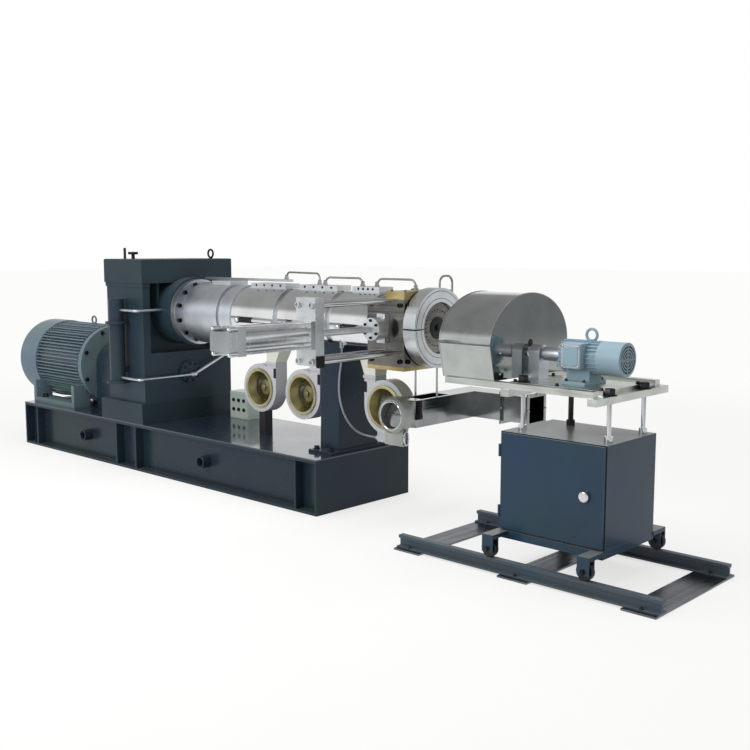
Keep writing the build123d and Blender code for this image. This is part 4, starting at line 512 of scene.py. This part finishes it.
frame_low, frame_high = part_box("main_motor_frame")
foot_x = (frame_low[0] + 0.09, frame_high[0] - 0.09)
foot_y = (frame_low[1] + 0.05, frame_high[1] - 0.05)
foot_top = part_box("base_deck")[1][2] + FOOT_THICKNESS
drive_screws = screws(hex_screw(0.036), rows(foot_x, foot_y, (foot_top,)), Z)
motor_axis = frame_low[2] + SHAFT_HEIGHT
shield_face = (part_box("main_motor_end_shield")[1][0] - 0.04, 0, motor_axis)
drive_screws += screws(hex_screw(0.022), circle(shield_face, X, 0.262, 8, 22), X)
plinth_low, plinth_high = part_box("gearbox_plinth")
plinth_places = rows((plinth_low[0] + 0.03,), spread(-0.4, 0.4, 4, 0.08), (plinth_high[2],))
drive_screws += screws(hex_screw(0.032), plinth_places, Z)
column_low, column_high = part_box("support_column")
column_x = spread(column_low[0], column_high[0], 2, 0.035)
column_y = spread(column_low[1], column_high[1], 2, 0.035)
drive_screws += screws(hex_screw(0.028), rows(column_x, column_y, (column_low[2] + 0.016,)), Z)
bearing_cap = (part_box("gearbox_housing")[1][0], 0, 0.663)
drive_screws += screws(hex_screw(0.014), circle(bearing_cap, X, 0.062, 8, 11), X)
piece("drive_screws", drive_screws, black_steel, "machine")

# %% [markdown]
# ## Motor fins
# Between the heavy fins of the cast frame run lighter ones, which nearly double the surface that the air
# cools. An array modifier could turn one round. Worked out as arrays, the same few lines also give the
# blades of a fan, which are bars with their outer ends turned on.

# %% Fins between the cast ones
CAST_FINS = 36


def radial_bars(centre, out, radii, length, count, thick, lean=0.0, first=0.0):
    """Bars round the axis out: corner = centre + r cos a side + r sin a up, a = bar + thick / 2r + lean."""
    side = np.cross(Z, out)
    up = np.cross(out, side)
    radius = np.repeat(np.array(radii), 2)
    bar_angle = first + np.arange(count)[:, None] * 2 * math.pi / count
    angle = bar_angle + np.array([-1, 1, 1, -1]) * thick / 2 / radius + np.array([0, 0, lean, lean])
    section = radius[:, None] * (np.cos(angle)[..., None] * side + np.sin(angle)[..., None] * up)
    ends = np.stack([section, section + length * np.array(out)], axis=1) + np.array(centre)
    return [loft(bar) for bar in ends]


fins = radial_bars((frame_low[0], 0, motor_axis), X, (0.262, 0.297), frame_high[0] - frame_low[0],
                   CAST_FINS, 0.006, first=math.pi / CAST_FINS)
piece("motor_fins", fins, motor_enamel, "machine")

# %% [markdown]
# ## Screws of the barrel and the screen changer
# The flange and the changer's block are held by socket screws, which look like dark dots from afar. Dots
# could be painted on. Real heads catch the light on their rims and stand up to a closer look.

# %% Barrel and changer screws
AXIS = 1.09
FLANGE_FACE = 0.104
changer_low, changer_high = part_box("screen_changer_body")
face_x = spread(changer_low[0], changer_high[0], 2, 0.03)
face_z = spread(changer_low[2], changer_high[2], 2, 0.03)
side_y = spread(changer_low[1], changer_high[1], 2, 0.03)
flange_screw, block_screw, heater_screw = socket_screw(0.015), socket_screw(0.013), socket_screw(0.007)
barrel_screws = screws(flange_screw, circle((FLANGE_FACE, 0, AXIS), X, 0.193, 12, 15), X)
barrel_screws += screws(block_screw, rows(face_x, (changer_low[1],), face_z), -Y)
barrel_screws += screws(block_screw, rows((changer_high[0],), side_y, face_z), X)
barrel_screws += screws(block_screw, rows(face_x, (changer_high[1],), face_z), Y)
heater_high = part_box("changer_heaters")[1]
heater_x = spread(heater_high[0] - 0.136, heater_high[0], 2, 0.02)
heater_y = spread(-0.2, 0.2, 3, 0.03)
barrel_screws += screws(heater_screw, rows(heater_x, heater_y, (heater_high[2],)), Z)
piece("barrel_screws", barrel_screws, black_steel, "machine")

# %% [markdown]
# ## Cylinder and die clamp
# The yoke is held by screws in the ends of its tie bars, and carries a black stop. Acorn nuts close the
# cylinder's own rods. The die clamp is two half rings, each turned with two grooves on its face. A groove
# cut into the solid would change it, so a dark round line, painted shade of the groove, is laid half into
# the face instead.

# %% Yoke, grooves and acorn nuts
yoke_low, yoke_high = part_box("cylinder_yoke")
yoke_x = (yoke_low[0] + 0.021, yoke_high[0] - 0.021)
yoke_z = (AXIS - 0.137, AXIS + 0.15)
yoke_screws = screws(socket_screw(0.017), rows(yoke_x, (yoke_low[1],), yoke_z), -Y)
piece("yoke_screws", yoke_screws, milled_steel, "machine")
stop = put(plate(0.05, 0.06, 0.012, 0.003), [(yoke_high[0], yoke_high[1] - 0.03, yoke_z[0])], X)
piece("yoke_stop", [stop], black_plastic_and_hole_shade, "machine")

# Dark half-buried lines stand for the grooves: painted shade.
GROOVE_RADII = (0.203, 0.163)
half_turn = np.radians(np.linspace(2, 178, 40))
groove_x = np.full(40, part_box("die_clamp")[1][0] - 0.0015)
arcs = [np.column_stack([groove_x, r * np.cos(half_turn), AXIS + side * r * np.sin(half_turn)])
        for r in GROOVE_RADII for side in (1, -1)]
piece("clamp_grooves", [tube(arc, 0.0025) for arc in arcs], rolled_steel_and_groove_shade, "machine")

NUT_RADIUS = 0.012
cylinder_low, cylinder_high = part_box("hydraulic_cylinder")
nut_x = (cylinder_low[0] + NUT_RADIUS, cylinder_high[0] - NUT_RADIUS)
nut_z = (cylinder_low[2] + NUT_RADIUS, cylinder_high[2] - NUT_RADIUS)
acorns = put(dome(NUT_RADIUS, NUT_RADIUS, 6, 16), rows(nut_x, (cylinder_low[1] + NUT_RADIUS,), nut_z), -Y)
piece("acorn_nuts", [acorns], chrome, "machine")

# %% [markdown]
# ## Heater covers
# Each cover is closed by a latch rod with a ball at its end and a dark grip. The ball is a profile turned
# round the rod. It stops just short of its two poles, so that no face there shrinks to nothing.

# %% Latches
COVER_STARTS = (0.649, 1.102, 1.555)
COVER_ENDS = (1.058, 1.511, 1.849)
LATCH_Y, LATCH_Z = -0.19, AXIS - 0.014
BALL_RADIUS = 0.023
ball_angle = np.linspace(0.05, 3.09, 12)
ball = turned(BALL_RADIUS * np.column_stack([np.sin(ball_angle), -np.cos(ball_angle)]), 20)
balls = [put(ball, [(start + 0.08, LATCH_Y - 0.004, LATCH_Z)], -X) for start in COVER_STARTS]
piece("latch_balls", balls, chrome, "machine")
grip = turned([(0.0165, 0), (0.0185, 0.002), (0.0185, 0.03), (0.0165, 0.034), (0.0165, 0.04),
               (0.0185, 0.044), (0.0185, 0.12), (0.0165, 0.122)], 20)
grips = [put(grip, [(start + 0.1, LATCH_Y, LATCH_Z)], X) for start in COVER_STARTS]
piece("latch_grips", grips, black_steel, "machine")

# %% [markdown]
# ## Terminal boxes
# The box on each cover has round knock-outs along its front, and the conduits run into hexagon glands on
# its lid. A knock-out is nearly flat, so a thin dark disc of painted shade gives the same look as a hole.

# %% Knock-outs and glands
COVER_TOP = AXIS + 0.19
LID_TOP = COVER_TOP + 0.024
# Dark discs of painted shade for the knock-outs.
knock_out = turned([(0.0075, 0), (0.0075, 0.0015), (0.006, 0.002)], 14)
knock_out_places = np.concatenate([rows(spread(start + 0.06, end - 0.02, 4, 0.05), (-0.06,),
                                        (COVER_TOP + 0.012,))
                                   for start, end in zip(COVER_STARTS, COVER_ENDS)])
piece("terminal_knock_outs", [put(knock_out, knock_out_places, -Y)], black_plastic_and_hole_shade, "machine")
gland = turned([(0.016, 0), (0.016, 0.012), (0.0125, 0.012), (0.0125, 0.026), (0.009, 0.03)], 6)
gland_places = [(0.865, 0.107, 1.326), (1.282, 0, LID_TOP), (1.331, 0, LID_TOP), (1.645, 0, LID_TOP),
                (1.759, 0, LID_TOP), (2.053, 0, AXIS + 0.203)]
piece("conduit_glands", [put(gland, gland_places, Z)], ground_rod, "machine")

# %% [markdown]
# ## Blowers
# Through each yellow inlet ring the fan wheel shows: a hub and a ring of blades that lean forward. A blade
# is a thin bar along the shaft, so the motor's fin function makes it too. The outlet neck has a lip, and a
# black slot where its flap turns: a flat black plate that paints the shade of the opening.

# %% Fan wheels
BLOWERS = ((0.826, 0.638, 1), (1.225, 0.633, 1), (1.905, 0.627, -1))
BLADES = 30
BLOWER_FACE = -0.1

hub = turned([(0.052, 0), (0.05, 0.012), (0.02, 0.02), (0.02, 0.03), (0.012, 0.034)], 24)
wheels = []
for x, z, hand in BLOWERS:
    wheels += radial_bars((x, -0.041, z), -Y, (0.05, 0.084), 0.017, BLADES, 0.003, lean=0.35)
    wheels.append(put(hub, [(x, -0.0405, z)], -Y))
# Wheels in the darker olive zinc: painted shade deep inside the blower.
piece("blower_wheels", wheels, shaded_passivated_wheel, "machine")

# %% Slots, inlet screws and outlet lips
# Each slot is a flat black plate: painted shade of the opening.
slot_shape = plate(0.022, 0.062, 0.002, 0.0008)
slots = [put(slot_shape, [(x + hand * 0.145, BLOWER_FACE, z + 0.104)], -Y) for x, z, hand in BLOWERS]
piece("blower_slots", slots, black_plastic_and_hole_shade, "machine")
inlet_screw = turned([(0.005, 0), (0.005, 0.002), (0.003, 0.003)], 10)
inlet_screws = [put(inlet_screw, circle((x, BLOWER_FACE - 0.009, z), -Y, 0.1185, 6, 30), -Y)
                for x, z, hand in BLOWERS]
piece("inlet_screws", inlet_screws, ground_rod, "machine")
lip_shape = plate(0.1, 0.018, 0.006, 0.002)
lips = [put(lip_shape, [(x + hand * 0.112, BLOWER_FACE, z + 0.164)], -Y) for x, z, hand in BLOWERS]
piece("outlet_lips", lips, blower_enamel, "machine")

# %% [markdown]
# ## Junction box
# A small steel box on the deck, with a flat lid and two rows of dark cable entries. The lid is a plate
# with its edge cut back, because a folded lid shows a thin bright line there.

# %% Junction box lid and entries
box_low, box_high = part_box("junction_box")
middle = np.add(box_low, box_high) / 2
junction_lid = put(plate(0.188, 0.178, 0.004, 0.0015), [(middle[0], box_low[1], middle[2])], -Y)
piece("junction_lid", [junction_lid], junction_enamel, "machine")
entry = turned([(0.013, 0), (0.013, 0.006), (0.009, 0.008), (0.009, 0.002)], 16)
entry_x = spread(box_low[0], box_high[0], 3, 0.045)
entry_z = (middle[2] - 0.03, middle[2] + 0.035)
entries = put(entry, rows(entry_x, (box_low[1] - 0.004,), entry_z), -Y)
piece("junction_entries", [entries], black_plastic_and_hole_shade, "machine")

# %% [markdown]
# ## Duct
# The duct is bolted together at its flanges, with a row of screws along each edge. The places of one flange
# are worked out once and used at both.

# %% Flange screws
DUCT_LIP = 0.009
DUCT_HALF = 0.093
DUCT_JOINT = 2.416
duct_low, duct_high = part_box("pellet_duct")
flange_z = (duct_low[2] + DUCT_LIP, duct_high[2] - DUCT_LIP)
flange_y = (duct_high[1] - 2 * DUCT_HALF + DUCT_LIP, duct_high[1] - DUCT_LIP)
flange_places = np.concatenate([part for x in (DUCT_JOINT, duct_high[0])
                                for part in (rows((x,), spread(*flange_y, 3, 0), flange_z),
                                             rows((x,), flange_y, (sum(flange_z) / 2,)))])
piece("duct_screws", screws(hex_screw(0.01), flange_places, X), ground_rod, "machine")

# %% [markdown]
# ## Air inlet
# A damper flap turns on a spindle inside the round inlet, worked by a chrome loop below it. The inlet's
# mouth has a bright rolled lip, and a toggle clamp with a black lever holds it to the duct. Flap and lip
# are turned profiles, and the loop is a pipe along an ellipse.

# %% Damper, lip, loop and clamp
COLLAR = (2.145, -0.31, 0.63)
FLAP_Y = -0.262
SPINDLE_HALF = 0.07
flap = turned([(0.066, 0), (0.069, 0.0005), (0.069, 0.0025), (0.066, 0.003)], 40)
tilted_flap = put(flap, [(COLLAR[0], FLAP_Y, COLLAR[2])], (0, -1, 0.32))
spindle_x = COLLAR[0] + SPINDLE_HALF * np.array([-1, 0, 1])
spindle = tube(rows(spindle_x, (FLAP_Y - 0.002,), (COLLAR[2],)), 0.005)
piece("damper_flap", [tilted_flap, spindle], duct_sheet, "machine")
mouth = rings([(0.08, 0), (0.08, 0.002), (0.076, 0.004), (0.0725, 0.002), (0.0725, 0)], 48)
piece("inlet_lip", [put(loft(mouth, closed=True), [COLLAR], -Y)], chrome, "machine")
loop_angle = np.linspace(0, 2 * math.pi, 25)[:-1]
loop_y = FLAP_Y + 0.018 * np.cos(loop_angle)
loop_z = 0.508 + 0.038 * np.sin(loop_angle)
loop_path = np.column_stack([np.full(24, 2.215), loop_y, loop_z])
piece("damper_loop", [tube(loop_path, 0.005, closed=True)], chrome, "machine")
lever = put(plate(0.026, 0.1, 0.018, 0.004), [(2.22, -0.166, 0.655)], X)
clamp_foot = put(plate(0.05, 0.03, 0.01, 0.002), [(2.22, -0.166, 0.615)], X)
piece("toggle_clamp", [lever, clamp_foot], black_plastic_and_hole_shade, "machine")

# %% [markdown]
# ## Cutter hood
# The hood is bent from mirror-polished sheet with a rolled bead along each edge. A bead is a thin pipe
# along the arch, so the arch is worked out once more here: straight leaning sides, and half an ellipse
# over them. A round sight hole looks in above the shaft, drawn as a black disc of painted shade, and four
# screws hold the end.

# %% Hood beads, sight hole and screws
HOOD_Y, HOOD_FOOT_Z, HOOD_WAIST_Z = -0.155, 0.900, 1.066
HOOD_FOOT, HOOD_WAIST, HOOD_RISE = 0.295, 0.331, 0.242
BEAD_RADIUS = 0.003
SIGHT_Z = 1.064


def hood_arch(x, steps=48):
    """Arch in the plane X = x: y = centre - waist cos a, z = waist height + rise sin a, with feet added."""
    angle = np.linspace(0, math.pi, steps)
    y = np.concatenate([[-HOOD_FOOT], -HOOD_WAIST * np.cos(angle), [HOOD_FOOT]])
    z = np.concatenate([[HOOD_FOOT_Z], HOOD_WAIST_Z + HOOD_RISE * np.sin(angle), [HOOD_FOOT_Z]])
    return np.column_stack([np.full(len(y), x), HOOD_Y + y, z])


hood_low, hood_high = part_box("cutter_hood")
beads = [tube(hood_arch(x), BEAD_RADIUS, 8) for x in (hood_low[0] + BEAD_RADIUS, hood_high[0] - BEAD_RADIUS)]
piece("hood_beads", beads, hood_sheet, "cart")
# The sight hole is a thin black disc: painted shade of the opening.
sight_disc = turned([(0.019, 0), (0.019, 0.0008), (0.016, 0.001)], 28)
sight_hole = put(sight_disc, [(hood_high[0], HOOD_Y, SIGHT_Z)], X)
piece("sight_hole", [sight_hole], black_plastic_and_hole_shade, "cart")
dome_screw = dome(0.007, 0.005, 5, 12)
hood_screws = put(dome_screw, rows((hood_high[0],), (HOOD_Y - 0.25, HOOD_Y + 0.25), (0.93, 1.03)), X)
piece("hood_screws", [hood_screws], ground_rod, "cart")

# %% [markdown]
# ## Cutter motor
# The fan end of the motor is a pressed cowl with round slots, behind which it is dark. Cutting the slots
# would change the solid, so hoops and a cross are laid over a dark disc. The terminal box has a pale rim
# and a flat lid with a screw in each corner.

# %% Fan grille
MOTOR_Y, MOTOR_Z = -0.155, 1.017
HOOP_RADII = (0.012, 0.026, 0.04, 0.054, 0.068)
HOOP_HALF, HOOP_DEPTH = 0.0025, 0.003
motor_low, motor_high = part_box("cutter_motor")
fan_end = (motor_high[0], MOTOR_Y, MOTOR_Z)
shadow = turned([(0.07, 0), (0.07, 0.0008), (0.068, 0.001)], 40)
piece("fan_shadow", [put(shadow, [fan_end], X)], black_plastic_and_hole_shade, "cart")
hoops = [rings([(r + HOOP_HALF, 0), (r + HOOP_HALF, HOOP_DEPTH), (r - HOOP_HALF, HOOP_DEPTH),
                (r - HOOP_HALF, 0)], 40) for r in HOOP_RADII]
grille = [put(loft(hoop, closed=True), [fan_end], X) for hoop in hoops]
grille += [put(plate(*size, HOOP_DEPTH, 0.0006), [fan_end], X) for size in ((0.008, 0.124), (0.124, 0.008))]
piece("fan_grille", grille, cutter_motor_enamel, "cart")

# %% Terminal box
TERMINAL = (3.227, motor_low[1], 1.026)
RIM_DEPTH = 0.004
terminal_rim = put(plate(0.1, 0.112, RIM_DEPTH, 0.0015), [TERMINAL], -Y)
piece("terminal_rim", [terminal_rim], blower_enamel, "cart")
terminal_lid = put(plate(0.08, 0.09, 0.007, 0.002), [TERMINAL], -Y)
piece("terminal_lid", [terminal_lid], cutter_motor_enamel, "cart")
lid_x = (TERMINAL[0] - 0.042, TERMINAL[0] + 0.042)
lid_z = (TERMINAL[2] - 0.048, TERMINAL[2] + 0.048)
lid_screws = put(dome_screw, rows(lid_x, (TERMINAL[1] - RIM_DEPTH,), lid_z), -Y)
piece("terminal_lid_screws", [lid_screws], ground_rod, "cart")

# %% [markdown]
# ## Table, cart and rails
# Large black nuts clamp the table to its posts. Smaller ones hold the plate, the motor's feet, the axles
# of the casters and the rails on their ties. They are all one shape at different widths, so a few lists
# of places are enough.

# %% Cart screws
POST_X, POST_Y = 3.47, (-0.315, 0.0)
MOTOR_FOOT = 0.016
AXLE_X, AXLE_Y, AXLE_Z, FORK_HALF = (2.97, 3.49), (-0.517, 0.137), 0.113, 0.024
table_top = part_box("table_frame")[1][2] - 0.03
plate_low, plate_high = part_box("motor_plate")
post_places = [(POST_X, POST_Y[0], table_top), (POST_X, POST_Y[1], table_top),
               (3.004, POST_Y[0], plate_high[2])]
cart_screws = screws(hex_screw(0.046), post_places, Z)
plate_x = spread(plate_low[0], plate_high[0], 3, 0.02)
plate_y = spread(plate_low[1], plate_high[1], 2, 0.02)
cart_screws += screws(hex_screw(0.016), rows(plate_x, plate_y, (plate_high[2],)), Z)
motor_foot_y = (MOTOR_Y - 0.08, MOTOR_Y + 0.08)
cart_screws += screws(hex_screw(0.014), rows((3.19, 3.286), motor_foot_y, (plate_high[2] + MOTOR_FOOT,)), Z)
for out in (-Y, Y):
    fork_y = [y + FORK_HALF * out[1] for y in AXLE_Y]
    cart_screws += screws(hex_screw(0.02), rows(AXLE_X, fork_y, (AXLE_Z,)), out)
piece("cart_screws", cart_screws, black_steel, "cart")

# %% Rail screws
TIE_X, RAIL_Y, RAIL_SEAT = (2.4875, 3.1325, 3.7785), (-0.517, 0.137), 0.017
foot_screw_y = [y + side for y in RAIL_Y for side in (-0.025, 0.025)]
rail_screws = screws(hex_screw(0.013), rows(TIE_X, foot_screw_y, (RAIL_SEAT,)), Z)
piece("rail_screws", rail_screws, black_steel, "machine")

# %% [markdown]
# ## Slide coupling and die face
# The cylinder's rod is screwed to the slide through a round flange. The die's face has a ring of small
# holes, from which the plastic comes out in strands, round a dark nose. The holes are thin dark discs of
# painted shade: at this size a bored hole and a dark disc look alike, and the solid stays as it is.

# %% Coupling screws, die holes and nose
COUPLING = (2.007, -0.32, AXIS)
coupling_screws = screws(socket_screw(0.008), circle(COUPLING, -Y, 0.047, 6, 30), -Y)
piece("coupling_screws", coupling_screws, black_steel, "slide")
die_face = (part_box("die_plate")[1][0], 0, AXIS)
# Each hole is a thin dark disc: painted shade of the bore.
hole = turned([(0.0045, 0), (0.0045, 0.0006), (0.0035, 0.0008)], 12)
die_holes = put(hole, circle(die_face, X, 0.1, 28), X)
piece("die_holes", [die_holes], black_plastic_and_hole_shade, "machine")
nose = turned([(0.062, 0), (0.06, 0.004), (0.02, 0.006), (0.02, 0.012), (0.016, 0.014)], 32)
piece("die_nose", [put(nose, [die_face], X)], black_steel, "machine")

# %% [markdown]
# ## The blower cable
# One grey cable hangs from a gland under the barrel to the last blower's box. It could be a mesh, but a
# curve keeps its thickness and length easy to change: a smooth line follows a list of points, and a round
# bevel gives it its body. The sheath is soft plastic, which is dull and evenly grey.

# %% Cable
CABLE_DIAMETER = 0.012
CABLE_ROUTE = [(1.622, -0.155, 0.950), (1.622, -0.155, 0.885), (1.626, -0.180, 0.790),
               (1.639, -0.198, 0.690), (1.658, -0.192, 0.596), (1.680, -0.155, 0.508),
               (1.700, -0.095, 0.450), (1.748, -0.052, 0.432), (1.805, -0.052, 0.432)]
sheath = enamel("grey_cable_sheath", "#85888A", "#9C9FA0", roughness=0.5, dust_and_sheen=0.08, rub=0.1)
cable_data = bpy.data.curves.new("blower_cable_cord", "CURVE")
cable_data.dimensions = "3D"
cable_data.bevel_depth = CABLE_DIAMETER / 2
cable_data.bevel_resolution = 4
cable_data.use_fill_caps = True
spline = cable_data.splines.new("NURBS")
spline.points.add(len(CABLE_ROUTE) - 1)
spline.points.foreach_set("co", np.column_stack([CABLE_ROUTE, np.ones(len(CABLE_ROUTE))]).ravel())
spline.order_u = 3
spline.use_endpoint_u = True
spline.resolution_u = 10
cable_data.materials.append(sheath)
cable = bpy.data.objects.new("blower_cable_cord", cable_data)
bpy.context.scene.collection.objects.link(cable)
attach(cable, "machine")
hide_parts("blower_cable")

# %% [markdown]
# ## Floor
# The machine stands on a pale screed. A white backdrop could come from stronger lamps, but those would
# bleach the paint. The floor glows a little for the eye and in reflections instead, more so far away, so
# it runs into the white room and still takes the shadow. Far in front and beyond the die's end it is grey,
# which gives the polished parts something darker to show.

# %% Floor
FLOOR_HALF = 60
# A trowel leaves cloudy marks about a third of a metre wide.
TROWEL_MM = 1000 / 3
SMOOTH = {"interpolation_type": "SMOOTHSTEP"}


def studio_floor():
    """A flat square: its tone falls with a smooth step in front and at the end, its glow rises far away."""
    corners = FLOOR_HALF * np.array([(-1, -1, 0), (1, -1, 0), (1, 1, 0), (-1, 1, 0)])
    mesh = bpy.data.meshes.new("studio_floor")
    mesh.from_pydata(corners.tolist(), [], [(0, 1, 2, 3)])
    material, tree, output = new_material("pale_screed")
    place = add(tree, "ShaderNodeTexCoord").outputs["Object"]
    grain = add(tree, "ShaderNodeTexNoise", {},
                {"Vector": place, "Scale": per_metre(TROWEL_MM), "Detail": 8.0})
    pale = add(tree, "ShaderNodeMix", {"data_type": "RGBA"},
               {0: grain.outputs["Fac"], 6: linear("#ECECEB"), 7: linear("#F2F2F1")})
    axes = add(tree, "ShaderNodeSeparateXYZ", {}, {0: place})
    ahead = add(tree, "ShaderNodeMapRange", SMOOTH,
                {"Value": axes.outputs["Y"], "From Min": -9.0, "From Max": -3.0})
    beside = add(tree, "ShaderNodeMapRange", SMOOTH,
                 {"Value": axes.outputs["X"], "From Min": 11.0, "From Max": 4.8})
    bright = add(tree, "ShaderNodeMath", {"operation": "MULTIPLY"},
                 {0: ahead.outputs[0], 1: beside.outputs[0]})
    tone = add(tree, "ShaderNodeMix", {"data_type": "RGBA"},
               {0: bright.outputs[0], 6: linear("#85878A"), 7: pale.outputs[2]})
    paint = add(tree, "ShaderNodeBsdfDiffuse", {}, {"Color": tone.outputs[2]})
    white = add(tree, "ShaderNodeMix", {"data_type": "RGBA"},
                {0: bright.outputs[0], 6: linear("#8D8F92"), 7: linear("#FCFCFB")})
    glow = add(tree, "ShaderNodeEmission", {}, {"Color": white.outputs[2], "Strength": 1.0})
    path = add(tree, "ShaderNodeLightPath")
    shown = add(tree, "ShaderNodeMath", {"operation": "MAXIMUM"},
                {0: path.outputs["Is Camera Ray"], 1: path.outputs["Is Glossy Ray"]})
    seen = add(tree, "ShaderNodeMath", {"operation": "MAXIMUM"},
               {0: shown.outputs[0], 1: path.outputs["Is Transmission Ray"]})
    away = add(tree, "ShaderNodeVectorMath", {"operation": "DISTANCE"}, {0: place, 1: (1.0, 0.0, 0.0)})
    reach = add(tree, "ShaderNodeMapRange", SMOOTH,
                {"Value": away.outputs["Value"], "From Min": 2.0, "From Max": 7.0, "To Min": 0.7,
                 "To Max": 1.0})
    share = add(tree, "ShaderNodeMath", {"operation": "MULTIPLY"},
                {0: seen.outputs[0], 1: reach.outputs[0]})
    mixed = add(tree, "ShaderNodeMixShader", {},
                {0: share.outputs[0], 1: paint.outputs[0], 2: glow.outputs[0]})
    tree.links.new(mixed.outputs[0], output.inputs["Surface"])
    mesh.materials.append(material)
    floor = bpy.data.objects.new("studio_floor", mesh)
    bpy.context.scene.collection.objects.link(floor)
    print("floor", 2 * FLOOR_HALF, "m square")


studio_floor()

# %% [markdown]
# ## Lamps
# Two broad soft lamps light the machine, as in a studio: one overhead and one in front. Small strong lamps
# would give hard shadows. The one overhead is kept out of reflections, where it would be a white square.

# %% Lamps
def lamp(name, place, aim, size, power):
    """A soft square lamp at place, pointing at aim."""
    data = bpy.data.lights.new(name, "AREA")
    data.size = size
    data.energy = power
    light = bpy.data.objects.new(name, data)
    light.location = place
    towards = np.subtract(aim, place)
    yaw = math.atan2(towards[1], towards[0])
    drop = math.atan2(-towards[2], math.hypot(towards[0], towards[1]))
    light.rotation_euler = Euler((math.pi / 2 - drop, 0, yaw - math.pi / 2))
    bpy.context.scene.collection.objects.link(light)
    print(name, power, "W")
    return light


roof_light = lamp("roof_light", (1.0, -0.5, 6.0), (1.0, 0, 0), 6.0, 330)
roof_light.visible_glossy = False
lamp("front_light", (0.5, -6.0, 3.6), (0.8, 0, 0.6), 3.0, 170)

# %% [markdown]
# ## Surroundings
# A polished part shows only what stands round it. Here that is a white room with a grey ceiling, so the
# covers and the hood get one bright streak at eye level. A picture of a room would do too, but a tone that
# depends on the direction's height alone stays plain and even.

# %% World
world = bpy.data.worlds.new("studio_world")
world.use_nodes = True
world_tree = world.node_tree
world_tree.nodes.clear()
world_output = add(world_tree, "ShaderNodeOutputWorld")
direction = add(world_tree, "ShaderNodeTexCoord").outputs["Generated"]
height = add(world_tree, "ShaderNodeSeparateXYZ", {}, {0: direction})
room = add(world_tree, "ShaderNodeMapRange", SMOOTH,
           {"Value": height.outputs["Z"], "From Min": 0.24, "From Max": 0.44, "To Min": 1.0, "To Max": 0.38})
sky = add(world_tree, "ShaderNodeBackground", {}, {"Color": (1, 1, 1, 1), "Strength": room.outputs[0]})
world_tree.links.new(sky.outputs[0], world_output.inputs["Surface"])
bpy.context.scene.world = world
print("world", world.name)
